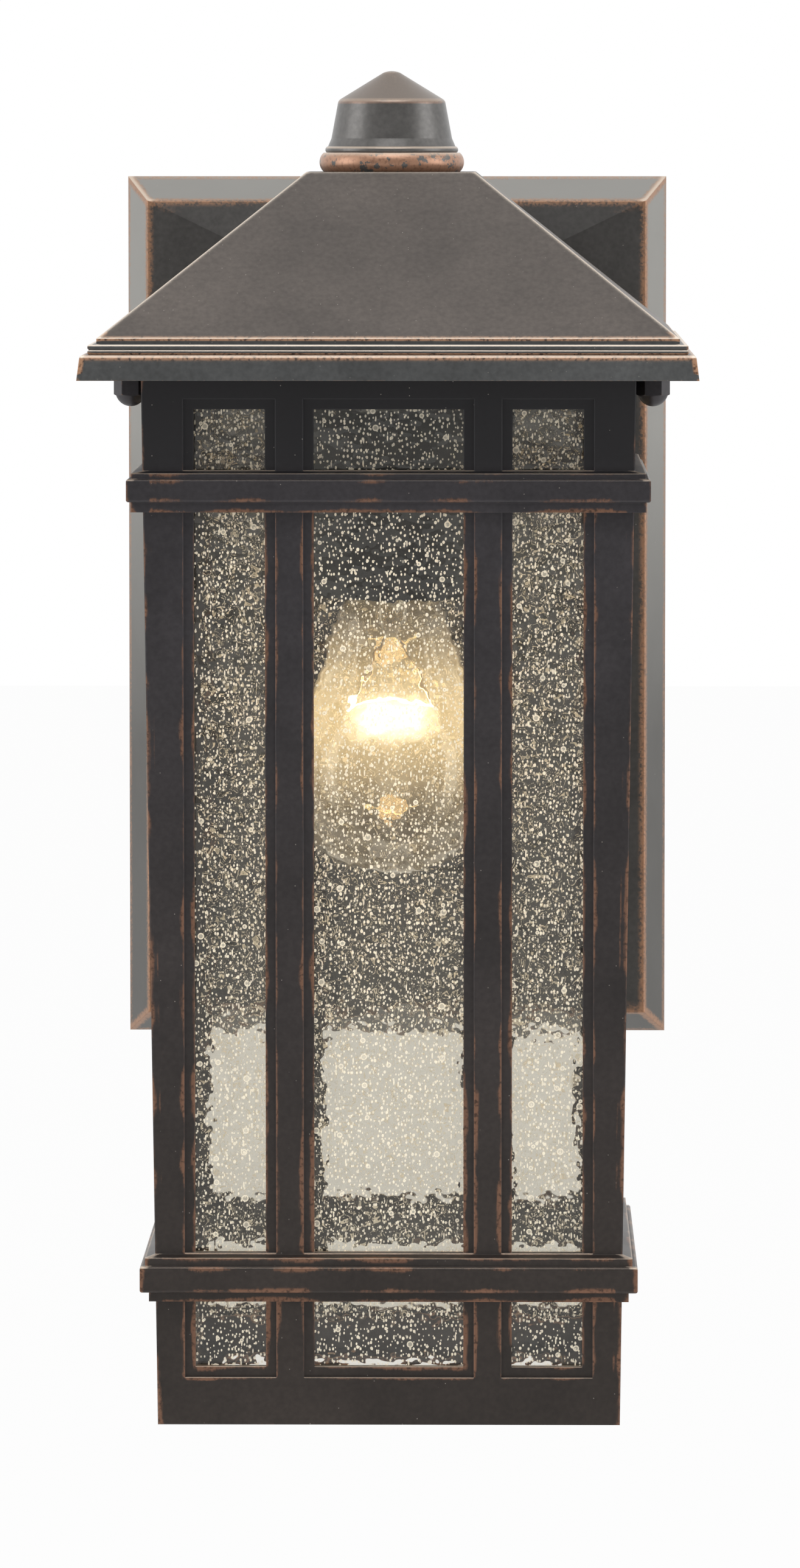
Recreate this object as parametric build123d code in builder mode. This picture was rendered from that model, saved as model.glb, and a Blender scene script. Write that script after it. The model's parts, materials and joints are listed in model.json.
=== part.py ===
"""Outdoor wall lantern: a glazed cage under a hipped roof, held off the wall by a short arm.

The origin is the centre of the backplate on the wall. X runs to the right for someone who
looks at the light, -Y points away from the wall and Z is up. Sizes are in millimetres.
Heights are given above the bottom edge of the cage, and z_at() turns them into Z.
"""

import os
from math import hypot

from build123d import *

os.makedirs("parts", exist_ok=True)

# Clearances
fixed_gap = 0.1
mitre_gap = 0.05
thread_gap = 0.05
screw_gap = 0.25
sliding_gap = 0.4

# Distance from the wall to the lantern's axis
axis_depth = 140.0

# Backplate
plate_width = 178.4
plate_height = 284.4
plate_top_rise = 44.2
plate_lip = 2.5
plate_side_bevel = 6.9
plate_end_bevel = 7.8
plate_rim_depth = 20.0
plate_edge_round = 0.8
plate_wall = 2.8
field_width = 38.0
field_end_margin = 30.4
field_depth = 28.0
gasket_width = 6.0
gasket_thickness = 3.0

# Mounting strap, its studs and the nuts on them
strap_length = 140.0
strap_width = 22.0
strap_thickness = 2.2
strap_corner_round = 5.0
box_screw_spacing = 88.9
box_slot_width = 5.2
box_slot_length = 12.0
plate_stud_spacing = 120.0
plate_stud_radius = 2.05
plate_stud_end_gap = 2.0
plate_pad_radius = 7.5
plate_pad_depth = 25.6
lock_nut_flats = 8.0
lock_nut_thickness = 3.2
ground_screw_radius = 1.9
ground_screw_head_radius = 4.0
ground_screw_head_height = 2.0
ground_screw_offset = 16.0

# Cap nuts, alike on the backplate and under the eave
cap_nut_flats = 9.3
cap_nut_hex_height = 7.4
cap_nut_dome_height = 3.4
cap_nut_cap_thickness = 2.4

# Arm
arm_rise = 4.0
arm_width = 36.0
arm_thickness = 18.0
arm_edge_round = 2.0
arm_boss_margin = 4.0
arm_boss_depth = 30.0
arm_boss_thickness = 8.0
wire_way_width = 18.0
wire_way_thickness = 8.0
arm_screw_spacing = 27.0
arm_screw_radius = 2.0
arm_screw_bite = 9.0
arm_screw_head_radius = 3.4
arm_screw_head_height = 2.2
roof_screw_rise = 5.5

# Roof
eave_overhang = 18.92
fascia_set_in = 1.0
fascia_height = 7.8
fascia_edge_round = 1.2
eave_bead_set_in = 2.3
eave_bead_height = 1.55
eave_bead_round = 0.4
roof_lip_set_in = 2.6
roof_lip_height = 1.8
roof_hip_rise = 50.4
roof_top_half = 26.4
fascia_wall = 4.0
roof_wall = 2.6
roof_top_thickness = 3.0

# Studs that hold the cage, and the ears they pass through
cage_stud_offset = 6.42
cage_stud_radius = 2.4
cage_stud_depth = 9.5
stud_boss_radius = 5.0
ear_width = 14.0
ear_end_gap = 0.5
ear_hole_radius = 2.9

# Finial, from the flat top of the roof up
finial_ring_radius = 22.8
finial_ring_height = 6.0
finial_ring_round = 1.3
finial_bead_set_in = 2.3
finial_bead_height = 2.0
finial_drum_set_in = 1.5
finial_cove_height = 2.5
finial_drum_height = 11.9
finial_drum_taper = 2.2
finial_shoulder_round = 1.8
finial_cone_height = 8.7
finial_tip_radius = 2.6
finial_tip_rise = 0.5

# Centre nipple with its nuts, and the socket cup
nipple_radius = 4.8
nipple_bore_radius = 2.6
nipple_in_finial = 12.0
nipple_nut_flats = 14.0
nipple_nut_thickness = 4.0
washer_radius = 10.0
washer_thickness = 1.2
cup_radius = 30.0
cup_wall = 1.0
cup_drop = 75.4
cup_height = 58.2
cup_shoulder_round = 6.0

# Lampholder with its screw shell and centre contact
holder_radius = 20.0
holder_hub_radius = 9.0
holder_hub_bore = 4.0
holder_shoulder_drop = 7.0
holder_height = 43.0
holder_crown = 7.4
holder_shoulder_round = 4.0
shell_wall = 0.6
shell_length = 25.0
contact_length = 16.0
contact_width = 8.0
contact_thickness = 0.8

# Bulb
bulb_length = 132.0
bulb_ball_radius = 34.0
bulb_ball_turn = 28.0
bulb_neck_radius = 16.0
bulb_neck_drop = 18.8
bulb_glass = 0.9
bulb_base_radius = 13.1
bulb_base_length = 26.0
bulb_base_straight = 20.0
bulb_neck_in_base = 6.0
bulb_contact_radius = 4.5
stem_foot_radius = 2.9
stem_tube_radius = 4.5
stem_flare_height = 8.5
stem_length = 36.8
stem_taper = 9.0
filament_drop = 22.3
filament_width = 27.0
filament_rise = 3.0
filament_radius = 0.7
lead_radius = 0.4
lead_spacing = 5.0

# Cage, a square tube that widens upwards, made of four panels mitred at the corners
cage_bottom_half = 71.7
cage_draft = 0.0135
panel_thickness = 4.2
bottom_rail_height = 18.0
lower_window_height = 20.8
main_window_height = 229.8
upper_window_height = 18.7
top_rail_height = 9.3
corner_post_width = 11.7
outer_window_width = 21.9
mullion_width = 15.0
ledge_width = 3.25
ledge_depth = 1.3

# Moulded bands of the cage, each a fillet, a fascia and a smaller top fillet
lower_fillet_height = 3.0
lower_fillet_reach = 2.1
lower_fascia_height = 8.1
lower_fascia_reach = 4.8
lower_top_height = 2.5
lower_top_reach = 3.1
lower_sill_height = 1.3
upper_fillet_height = 3.1
upper_fillet_reach = 3.7
upper_fascia_height = 7.1
upper_fascia_reach = 5.0
upper_top_height = 1.7
upper_top_reach = 3.5
upper_sill_height = 0.9
band_edge_round = 0.8

# Glass, and the two frames that trap it
glass_corner_margin = 8.7
glass_thickness = 3.0
glass_bottom_height = 9.7
glass_top_lap = 3.2
frame_lip_thickness = 2.4
bottom_frame_height = 1.0
bottom_lip_height = 5.0
bottom_flange_thickness = 2.5
bottom_flange_reach = 7.9
top_lip_height = 2.5
top_flange_thickness = 3.0
top_flange_margin = 0.5
frame_screw_spacing = 90.0
frame_screw_radius = 1.5
frame_screw_bite = 2.8
frame_screw_head_radius = 2.4
frame_screw_head_height = 1.5


def cage_half(height):
    """Outer half width of the cage at a height."""
    return cage_bottom_half + cage_draft * height


# Windows and bands of the cage, from its foot up to the roof
lower_window_top = bottom_rail_height + lower_window_height
lower_fascia_bottom = lower_window_top + lower_fillet_height
lower_fascia_top = lower_fascia_bottom + lower_fascia_height
lower_band_top = lower_fascia_top + lower_top_height
main_window_bottom = lower_band_top + lower_sill_height
main_window_top = main_window_bottom + main_window_height
upper_fascia_bottom = main_window_top + upper_fillet_height
upper_fascia_top = upper_fascia_bottom + upper_fascia_height
upper_band_top = upper_fascia_top + upper_top_height
upper_window_bottom = upper_band_top + upper_sill_height
upper_window_top = upper_window_bottom + upper_window_height
cage_height = upper_window_top + top_rail_height

# Roof, from its eave on the cage's top edge up to the finial's seat
eave_half = cage_half(cage_height) + eave_overhang
fascia_top_half = eave_half - fascia_set_in
fascia_inner_half = fascia_top_half - fascia_wall
eave_bead_half = fascia_top_half - eave_bead_set_in
roof_lip_half = eave_bead_half - roof_lip_set_in
fascia_top_height = cage_height + fascia_height
lip_bottom_height = fascia_top_height + 2 * eave_bead_height
slope_base_height = lip_bottom_height + roof_lip_height
roof_top_height = slope_base_height + roof_hip_rise
ceiling_height = roof_top_height - roof_top_thickness
cage_stud_x = cage_half(cage_height) + cage_stud_offset
cage_stud_spacing = 2 * cage_stud_x

# Arm above the foot of the rear slope, and the backplate behind it
arm_bottom_height = slope_base_height + arm_rise
roof_screw_height = arm_bottom_height + roof_screw_rise
plate_centre_height = arm_bottom_height + plate_top_rise - plate_height / 2
plate_face_width = plate_width - 2 * plate_side_bevel
plate_face_height = plate_height - 2 * plate_end_bevel
field_height = plate_face_height - 2 * field_end_margin

# Cup, lampholder and bulb, hung one inside the other from the ceiling of the roof
cup_top_height = roof_top_height - cup_drop
cup_rim_height = cup_top_height - cup_height
holder_shoulder_height = cup_top_height - holder_shoulder_drop
holder_rim_height = holder_shoulder_height - holder_height
holder_bore_top = holder_shoulder_height - holder_crown
bulb_top_height = holder_bore_top - contact_thickness
bulb_end_height = bulb_top_height - bulb_length
shell_radius = bulb_base_radius + screw_gap + shell_wall


def z_at(height):
    """Z of a height above the bottom edge of the cage."""
    return height - plate_centre_height


wall = Plane.XZ
side_view = Plane.XZ.offset(axis_depth)
cage_axis = Axis((0, -axis_depth, 0), (0, 0, 1))
arm_centre_z = z_at(arm_bottom_height + arm_thickness / 2)
plate_stud_x = plate_stud_spacing / 2


def level(height):
    """Horizontal plane at a height, centred on the lantern's axis."""
    return Plane((0, -axis_depth, z_at(height)))


def lofted(sections):
    """Solid lofted from each (plane, width, height) rectangle to the next."""
    with BuildPart() as solid:
        for start, end in zip(sections, sections[1:]):
            for plane, width, height in (start, end):
                with BuildSketch(plane):
                    Rectangle(width, height)
            loft()
    return solid.part


def square_stack(*levels):
    """Square solid round the lantern's axis, through (half width, height) levels."""
    return lofted([(level(height), 2 * half, 2 * half) for half, height in levels])


def tapered_block(inset, low, high):
    """Square solid that follows the cage's taper, a distance inside its outer face."""
    return square_stack((cage_half(low) - inset, low), (cage_half(high) - inset, high))


def wall_stack(*levels):
    """Rectangular solid in front of the wall, through (width, height, depth) levels."""
    return lofted([(wall.offset(depth), width, height) for width, height, depth in levels])


def cap_nut(seat, stud_radius):
    """Hexagon nut with a domed end, made on a seat whose normal points to the dome."""
    flat_radius = cap_nut_flats / 2
    corner_radius = 2 * flat_radius
    dome_top = cap_nut_hex_height + cap_nut_dome_height
    axial = Plane(seat.origin, x_dir=seat.x_dir, z_dir=seat.y_dir * -1)
    with BuildPart() as nut:
        with BuildSketch(seat):
            RegularPolygon(flat_radius, 6, major_radius=False)
        extrude(amount=cap_nut_hex_height)
        with BuildSketch(axial):
            with BuildLine():
                Polyline(
                    (0, 0),
                    (flat_radius, 0),
                    (corner_radius, flat_radius / 2),
                    (corner_radius, cap_nut_hex_height - flat_radius / 2),
                    (flat_radius, cap_nut_hex_height),
                    (0, cap_nut_hex_height),
                    close=True,
                )
            make_face()
        revolve(axis=Axis(seat.origin, seat.z_dir), mode=Mode.INTERSECT)
        with BuildSketch(axial):
            with BuildLine():
                foot = Line((0, cap_nut_hex_height), (flat_radius, cap_nut_hex_height))
                TangentArc((0, dome_top), foot @ 1, tangent=(1, 0))
                Line((0, dome_top), foot @ 0)
            make_face()
        revolve(axis=Axis(seat.origin, seat.z_dir))
        with BuildSketch(seat):
            Circle(stud_radius + thread_gap)
        extrude(amount=dome_top - cap_nut_cap_thickness, mode=Mode.SUBTRACT)
    return nut.part


def pan_screw(seat, head_radius, head_height, shank_radius, length):
    """Screw with a rounded head on a seat, and its shank along the seat's normal."""
    with BuildPart() as screw:
        with BuildSketch(seat):
            Circle(head_radius)
        extrude(amount=-head_height)
        rim = screw.edges().sort_by(Axis(seat.origin, seat.z_dir))[0]
        fillet(rim, radius=head_height * 0.6)
        with BuildSketch(seat):
            Circle(shank_radius)
        extrude(amount=length)
    return screw.part


# Backplate: a bevelled rim and a hipped face, hollow behind, with an arm boss and two nut pads
boss_width = arm_width + 2 * arm_boss_margin
boss_height = arm_thickness + 2 * arm_boss_margin
gasket_ledge = plate_wall + gasket_width
plate_outline = wall_stack(
    (plate_width, plate_height, 0),
    (plate_width, plate_height, plate_lip),
    (plate_face_width, plate_face_height, plate_rim_depth),
    (field_width, field_height, field_depth),
)
plate_rabbet = wall_stack(
    (plate_width - 2 * plate_wall, plate_height - 2 * plate_wall, 0),
    (plate_width - 2 * plate_wall, plate_height - 2 * plate_wall, gasket_thickness),
)
plate_cavity = wall_stack(
    (plate_width - 2 * gasket_ledge, plate_height - 2 * gasket_ledge, gasket_thickness),
    (
        plate_face_width - 2 * plate_wall,
        plate_face_height - 2 * plate_wall,
        plate_rim_depth - plate_wall,
    ),
    (field_width, field_height, field_depth - plate_wall),
)
with BuildPart() as backplate:
    add(plate_outline)
    face_arrises = backplate.edges().filter_by_position(
        Axis.Y, -plate_rim_depth - fixed_gap, -plate_rim_depth + fixed_gap
    )
    fillet(face_arrises, radius=plate_edge_round)
    add([plate_rabbet, plate_cavity], mode=Mode.SUBTRACT)
    with BuildSketch(wall.offset(arm_boss_depth)):
        with Locations((0, arm_centre_z)):
            Rectangle(boss_width, boss_height)
    extrude(amount=-arm_boss_thickness)
    with BuildSketch(wall.offset(plate_pad_depth)):
        with GridLocations(plate_stud_spacing, 0, 2, 1):
            Circle(plate_pad_radius)
    extrude(amount=plate_rim_depth - plate_pad_depth)
    with BuildSketch(wall):
        with GridLocations(plate_stud_spacing, 0, 2, 1):
            Circle(plate_stud_radius + screw_gap)
        with Locations((0, arm_centre_z)):
            Rectangle(wire_way_width, wire_way_thickness)
            with GridLocations(arm_screw_spacing, 0, 2, 1):
                Circle(arm_screw_radius + screw_gap)
    extrude(amount=arm_boss_depth, mode=Mode.SUBTRACT)
backplate.part.label = "backplate"
export_step(backplate.part, "parts/backplate.step")

# Wall gasket, in the rabbet behind the rim
gasket_outer_width = plate_width - 2 * plate_wall - 2 * fixed_gap
gasket_outer_height = plate_height - 2 * plate_wall - 2 * fixed_gap
with BuildPart() as wall_gasket:
    with BuildSketch(wall):
        Rectangle(gasket_outer_width, gasket_outer_height)
        Rectangle(
            gasket_outer_width - 2 * gasket_width,
            gasket_outer_height - 2 * gasket_width,
            mode=Mode.SUBTRACT,
        )
    extrude(amount=gasket_thickness)
wall_gasket.part.label = "wall_gasket"
export_step(wall_gasket.part, "parts/wall_gasket.step")

# Mounting strap, held on the junction box by screws through its two slots
with BuildPart() as mounting_strap:
    with BuildSketch(wall):
        RectangleRounded(strap_length, strap_width, strap_corner_round)
        with GridLocations(box_screw_spacing, 0, 2, 1):
            SlotOverall(box_slot_length, box_slot_width, mode=Mode.SUBTRACT)
        with GridLocations(plate_stud_spacing, 0, 2, 1):
            Circle(plate_stud_radius + thread_gap, mode=Mode.SUBTRACT)
        with Locations((ground_screw_offset, 0)):
            Circle(ground_screw_radius + thread_gap, mode=Mode.SUBTRACT)
    extrude(amount=strap_thickness)
mounting_strap.part.label = "mounting_strap"
export_step(mounting_strap.part, "parts/mounting_strap.step")

# Studs that stand out of the strap and pass through the backplate
cap_nut_bore_depth = cap_nut_hex_height + cap_nut_dome_height - cap_nut_cap_thickness
plate_stud_length = plate_pad_depth + cap_nut_bore_depth - plate_stud_end_gap
with BuildPart() as strap_studs:
    with BuildSketch(wall):
        with GridLocations(plate_stud_spacing, 0, 2, 1):
            Circle(plate_stud_radius)
    extrude(amount=plate_stud_length)
strap_studs.part.label = "strap_studs"
export_step(strap_studs.part, "parts/strap_studs.step")

# Lock nuts that set the studs in the strap
with BuildPart() as strap_lock_nuts:
    with BuildSketch(wall.offset(strap_thickness)):
        with GridLocations(plate_stud_spacing, 0, 2, 1):
            RegularPolygon(lock_nut_flats / 2, 6, major_radius=False)
            Circle(plate_stud_radius + thread_gap, mode=Mode.SUBTRACT)
    extrude(amount=lock_nut_thickness)
strap_lock_nuts.part.label = "strap_lock_nuts"
export_step(strap_lock_nuts.part, "parts/strap_lock_nuts.step")

# Ground screw, from the front of the strap
ground_screw_seat = Plane(
    (ground_screw_offset, -strap_thickness, 0), x_dir=(1, 0, 0), z_dir=(0, 1, 0)
)
ground_screw_solid = pan_screw(
    ground_screw_seat,
    ground_screw_head_radius,
    ground_screw_head_height,
    ground_screw_radius,
    strap_thickness,
)
with BuildPart() as ground_screw:
    add(ground_screw_solid)
ground_screw.part.label = "ground_screw"
export_step(ground_screw.part, "parts/ground_screw.step")

# Cap nuts that hold the backplate on its studs
plate_nut_seats = [
    Plane((x, -plate_pad_depth, 0), x_dir=(1, 0, 0), z_dir=(0, -1, 0))
    for x in (-plate_stud_x, plate_stud_x)
]
plate_nut_solids = [cap_nut(seat, plate_stud_radius) for seat in plate_nut_seats]
with BuildPart() as backplate_cap_nuts:
    add(plate_nut_solids)
backplate_cap_nuts.part.label = "backplate_cap_nuts"
export_step(backplate_cap_nuts.part, "parts/backplate_cap_nuts.step")

# Outline of the whole roof casting: fascia, two beads, lip and hipped slopes
bead_bottoms = [fascia_top_height, fascia_top_height + eave_bead_height]
roof_fascia = square_stack((eave_half, cage_height), (fascia_top_half, fascia_top_height))
roof_beads = [
    square_stack(
        (eave_bead_half - eave_bead_round, bottom),
        (eave_bead_half, bottom + eave_bead_round),
        (eave_bead_half, bottom + eave_bead_height - eave_bead_round),
        (eave_bead_half - eave_bead_round, bottom + eave_bead_height),
    )
    for bottom in bead_bottoms
]
roof_hips = square_stack(
    (roof_lip_half, lip_bottom_height),
    (roof_lip_half, slope_base_height),
    (roof_top_half, roof_top_height),
)
with BuildPart() as roof_outline:
    add(roof_fascia)
    fillet(roof_outline.edges().group_by(Axis.Z)[-1], radius=fascia_edge_round)
    add(roof_beads)
    add(roof_hips)

# Rear slope, seen from the arm: a seat for the screws on its inner face
slope_run = roof_lip_half - roof_top_half
slope_rise = roof_top_height - slope_base_height
slope_length = hypot(slope_run, slope_rise)
rear_normal = Vector(0, slope_rise / slope_length, slope_run / slope_length)
rear_screw_half = roof_top_half + (roof_top_height - roof_screw_height) * slope_run / slope_rise
rear_screw_point = Vector(0, rear_screw_half - axis_depth, z_at(roof_screw_height))
rear_screw_seat = Plane(
    rear_screw_point - rear_normal * roof_wall, x_dir=(1, 0, 0), z_dir=rear_normal
)

# Bosses inside the eave, cut to the outline of the roof, for the cage studs
ear_top_height = cage_height + top_flange_thickness
with BuildPart() as stud_bosses:
    with BuildSketch(level(ear_top_height)):
        with GridLocations(cage_stud_spacing, 0, 2, 1):
            Circle(stud_boss_radius)
    extrude(amount=roof_top_height - ear_top_height)
    add(roof_outline.part, mode=Mode.INTERSECT)

# Roof: the outline made hollow, with its bosses and holes
wall_run = roof_wall * slope_length / slope_rise
ceiling_half = roof_top_half + roof_top_thickness * slope_run / slope_rise - wall_run
attic_half = roof_lip_half - wall_run
eave_hollow = square_stack(
    (fascia_inner_half, cage_height), (fascia_inner_half, fascia_top_height)
)
attic_hollow = square_stack(
    (attic_half, fascia_top_height),
    (attic_half, slope_base_height),
    (ceiling_half, ceiling_height),
)
with BuildPart() as roof:
    add(roof_outline.part)
    add([eave_hollow, attic_hollow], mode=Mode.SUBTRACT)
    add(stud_bosses.part)
    with BuildSketch(level(ear_top_height)):
        with GridLocations(cage_stud_spacing, 0, 2, 1):
            Circle(cage_stud_radius + thread_gap)
    extrude(amount=cage_stud_depth, mode=Mode.SUBTRACT)
    with BuildSketch(level(roof_top_height)):
        Circle(nipple_radius + sliding_gap)
    extrude(amount=-2 * roof_top_thickness, mode=Mode.SUBTRACT)
    with BuildSketch(wall.offset(axis_depth - roof_lip_half)):
        with Locations((0, arm_centre_z)):
            Rectangle(wire_way_width, wire_way_thickness)
    extrude(amount=slope_run, mode=Mode.SUBTRACT)
    with BuildSketch(rear_screw_seat):
        with GridLocations(arm_screw_spacing, 0, 2, 1):
            Circle(arm_screw_radius + screw_gap)
    extrude(amount=2 * roof_wall, both=True, mode=Mode.SUBTRACT)
roof.part.label = "roof"
export_step(roof.part, "parts/roof.step")

# Arm: a rounded bar from the backplate's boss, its far end cut to the roof's rear slope
with BuildPart() as arm:
    with BuildSketch(wall.offset(arm_boss_depth)):
        with Locations((0, arm_centre_z)):
            RectangleRounded(arm_width, arm_thickness, arm_edge_round)
    extrude(amount=axis_depth - arm_boss_depth - roof_top_half)
    add(roof_outline.part, mode=Mode.SUBTRACT)
    with BuildSketch(wall.offset(arm_boss_depth)):
        with Locations((0, arm_centre_z)):
            Rectangle(wire_way_width, wire_way_thickness)
    extrude(amount=axis_depth, mode=Mode.SUBTRACT)
    with BuildSketch(wall.offset(arm_boss_depth)):
        with Locations((0, arm_centre_z)):
            with GridLocations(arm_screw_spacing, 0, 2, 1):
                Circle(arm_screw_radius + thread_gap)
    extrude(amount=arm_screw_bite, mode=Mode.SUBTRACT)
    with BuildSketch(rear_screw_seat):
        with GridLocations(arm_screw_spacing, 0, 2, 1):
            Circle(arm_screw_radius + thread_gap)
    extrude(amount=roof_wall + arm_screw_bite, mode=Mode.SUBTRACT)
arm.part.label = "arm"
export_step(arm.part, "parts/arm.step")

# Screws into the arm, two from inside the backplate and two from inside the roof
plate_screw_seat = Plane(
    (0, arm_boss_thickness - arm_boss_depth, arm_centre_z), x_dir=(1, 0, 0), z_dir=(0, -1, 0)
)
arm_screw_ends = {
    "arm_plate_screws": (plate_screw_seat, arm_boss_thickness),
    "arm_roof_screws": (rear_screw_seat, roof_wall),
}
for name, (seat, clamped) in arm_screw_ends.items():
    screw_solids = [
        pan_screw(
            Plane(seat.origin + Vector(x, 0, 0), x_dir=seat.x_dir, z_dir=seat.z_dir),
            arm_screw_head_radius,
            arm_screw_head_height,
            arm_screw_radius,
            clamped + arm_screw_bite - fixed_gap,
        )
        for x in (-arm_screw_spacing / 2, arm_screw_spacing / 2)
    ]
    with BuildPart() as arm_screws:
        add(screw_solids)
    arm_screws.part.label = name
    export_step(arm_screws.part, f"parts/{name}.step")

# Studs under the roof, through the cage's ears into the acorn nuts
cage_stud_bottom = cage_height - cap_nut_bore_depth + fixed_gap
with BuildPart() as cage_studs:
    with BuildSketch(level(cage_stud_bottom)):
        with GridLocations(cage_stud_spacing, 0, 2, 1):
            Circle(cage_stud_radius)
    extrude(amount=ear_top_height + cage_stud_depth - fixed_gap - cage_stud_bottom)
cage_studs.part.label = "cage_studs"
export_step(cage_studs.part, "parts/cage_studs.step")

# Acorn nuts under the eave, which hold the cage up by its ears
for name, x in (("left_acorn_nut", -cage_stud_x), ("right_acorn_nut", cage_stud_x)):
    ear_seat = Plane((x, -axis_depth, z_at(cage_height)), x_dir=(1, 0, 0), z_dir=(0, 0, -1))
    acorn_nut_solid = cap_nut(ear_seat, cage_stud_radius)
    with BuildPart() as acorn_nut:
        add(acorn_nut_solid)
    acorn_nut.part.label = name
    export_step(acorn_nut.part, f"parts/{name}.step")

# Finial: a half-round ring, a bead, a tapered drum and a conical top
top_z = z_at(roof_top_height)
ring_top_z = top_z + finial_ring_height
bead_top_z = ring_top_z + finial_bead_height
drum_bottom_z = bead_top_z + finial_cove_height
drum_top_z = drum_bottom_z + finial_drum_height
cone_top_z = drum_top_z + finial_cone_height
finial_bead_radius = finial_ring_radius - finial_bead_set_in
drum_bottom_radius = finial_bead_radius - finial_drum_set_in
with BuildPart() as finial:
    with BuildSketch(side_view):
        with BuildLine():
            ring = ThreePointArc(
                (finial_ring_radius - finial_ring_round, top_z),
                (finial_ring_radius, top_z + finial_ring_height / 2),
                (finial_ring_radius - finial_ring_round, ring_top_z),
            )
            ring_top = Line(ring @ 1, (finial_bead_radius, ring_top_z))
            bead = ThreePointArc(
                ring_top @ 1,
                (finial_bead_radius + finial_ring_round / 3, (ring_top_z + bead_top_z) / 2),
                (finial_bead_radius - finial_ring_round / 3, bead_top_z),
            )
            cove = Line(bead @ 1, (drum_bottom_radius, drum_bottom_z))
            drum = Line(cove @ 1, (drum_bottom_radius - finial_drum_taper, drum_top_z))
            cone = Line(drum @ 1, (finial_tip_radius, cone_top_z))
            tip = TangentArc((0, cone_top_z + finial_tip_rise), cone @ 1, tangent=(1, 0))
            Polyline(tip @ 0, (0, top_z), ring @ 0)
        make_face()
    revolve(axis=cage_axis)
    drum_arris = finial.edges().filter_by_position(
        Axis.Z, drum_top_z - fixed_gap, drum_top_z + fixed_gap
    )
    fillet(drum_arris, radius=finial_shoulder_round)
    with BuildSketch(level(roof_top_height)):
        Circle(nipple_radius + thread_gap)
    extrude(amount=nipple_in_finial + fixed_gap, mode=Mode.SUBTRACT)
finial.part.label = "finial"
export_step(finial.part, "parts/finial.step")

# Centre nipple: a threaded tube from the finial to the lampholder
holder_hub_top = cup_top_height - cup_wall
nipple_bottom_height = holder_hub_top - holder_hub_bore
with BuildPart() as centre_nipple:
    with BuildSketch(level(nipple_bottom_height)):
        Circle(nipple_radius)
        Circle(nipple_bore_radius, mode=Mode.SUBTRACT)
    extrude(amount=roof_top_height + nipple_in_finial - nipple_bottom_height)
centre_nipple.part.label = "centre_nipple"
export_step(centre_nipple.part, "parts/centre_nipple.step")

# Washers and lock nuts on the nipple, one of each under the roof and over the cup
with BuildPart() as nipple_washers:
    for height in (ceiling_height - washer_thickness, cup_top_height):
        with BuildSketch(level(height)):
            Circle(washer_radius)
            Circle(nipple_radius + screw_gap, mode=Mode.SUBTRACT)
        extrude(amount=washer_thickness)
nipple_washers.part.label = "nipple_washers"
export_step(nipple_washers.part, "parts/nipple_washers.step")

upper_nut_height = ceiling_height - washer_thickness - nipple_nut_thickness
with BuildPart() as nipple_lock_nuts:
    for height in (upper_nut_height, cup_top_height + washer_thickness):
        with BuildSketch(level(height)):
            RegularPolygon(nipple_nut_flats / 2, 6, major_radius=False)
            Circle(nipple_radius + thread_gap, mode=Mode.SUBTRACT)
        extrude(amount=nipple_nut_thickness)
nipple_lock_nuts.part.label = "nipple_lock_nuts"
export_step(nipple_lock_nuts.part, "parts/nipple_lock_nuts.step")

# Socket cup: a spun cup over the lampholder
with BuildPart() as socket_cup:
    with BuildSketch(level(cup_rim_height)):
        Circle(cup_radius)
    extrude(amount=cup_top_height - cup_rim_height)
    fillet(socket_cup.edges().sort_by(Axis.Z)[-1], radius=cup_shoulder_round)
    offset(amount=-cup_wall, openings=socket_cup.faces().sort_by(Axis.Z)[0])
    with BuildSketch(level(cup_top_height)):
        Circle(nipple_radius + screw_gap)
    extrude(amount=-2 * cup_wall, mode=Mode.SUBTRACT)
socket_cup.part.label = "socket_cup"
export_step(socket_cup.part, "parts/socket_cup.step")

# Lampholder: glazed porcelain, on the nipple's lower end
with BuildPart() as lampholder:
    with BuildSketch(level(holder_rim_height)):
        Circle(holder_radius)
    extrude(amount=holder_shoulder_height - holder_rim_height)
    fillet(lampholder.edges().sort_by(Axis.Z)[-1], radius=holder_shoulder_round)
    with BuildSketch(level(holder_shoulder_height)):
        Circle(holder_hub_radius)
    extrude(amount=holder_hub_top - holder_shoulder_height)
    with BuildSketch(level(holder_hub_top)):
        Circle(nipple_radius + thread_gap)
    extrude(amount=-holder_hub_bore - fixed_gap, mode=Mode.SUBTRACT)
    with BuildSketch(level(holder_rim_height)):
        Circle(shell_radius + fixed_gap)
    extrude(amount=holder_bore_top - holder_rim_height, mode=Mode.SUBTRACT)
lampholder.part.label = "lampholder"
export_step(lampholder.part, "parts/lampholder.step")

# Screw shell and centre contact inside the lampholder
with BuildPart() as screw_shell:
    with BuildSketch(level(bulb_top_height)):
        Circle(shell_radius)
        Circle(shell_radius - shell_wall, mode=Mode.SUBTRACT)
    extrude(amount=-shell_length)
screw_shell.part.label = "screw_shell"
export_step(screw_shell.part, "parts/screw_shell.step")

with BuildPart() as centre_contact:
    with BuildSketch(level(bulb_top_height)):
        RectangleRounded(contact_length, contact_width, contact_width / 4)
    extrude(amount=contact_thickness)
centre_contact.part.label = "centre_contact"
export_step(centre_contact.part, "parts/centre_contact.step")

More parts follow.
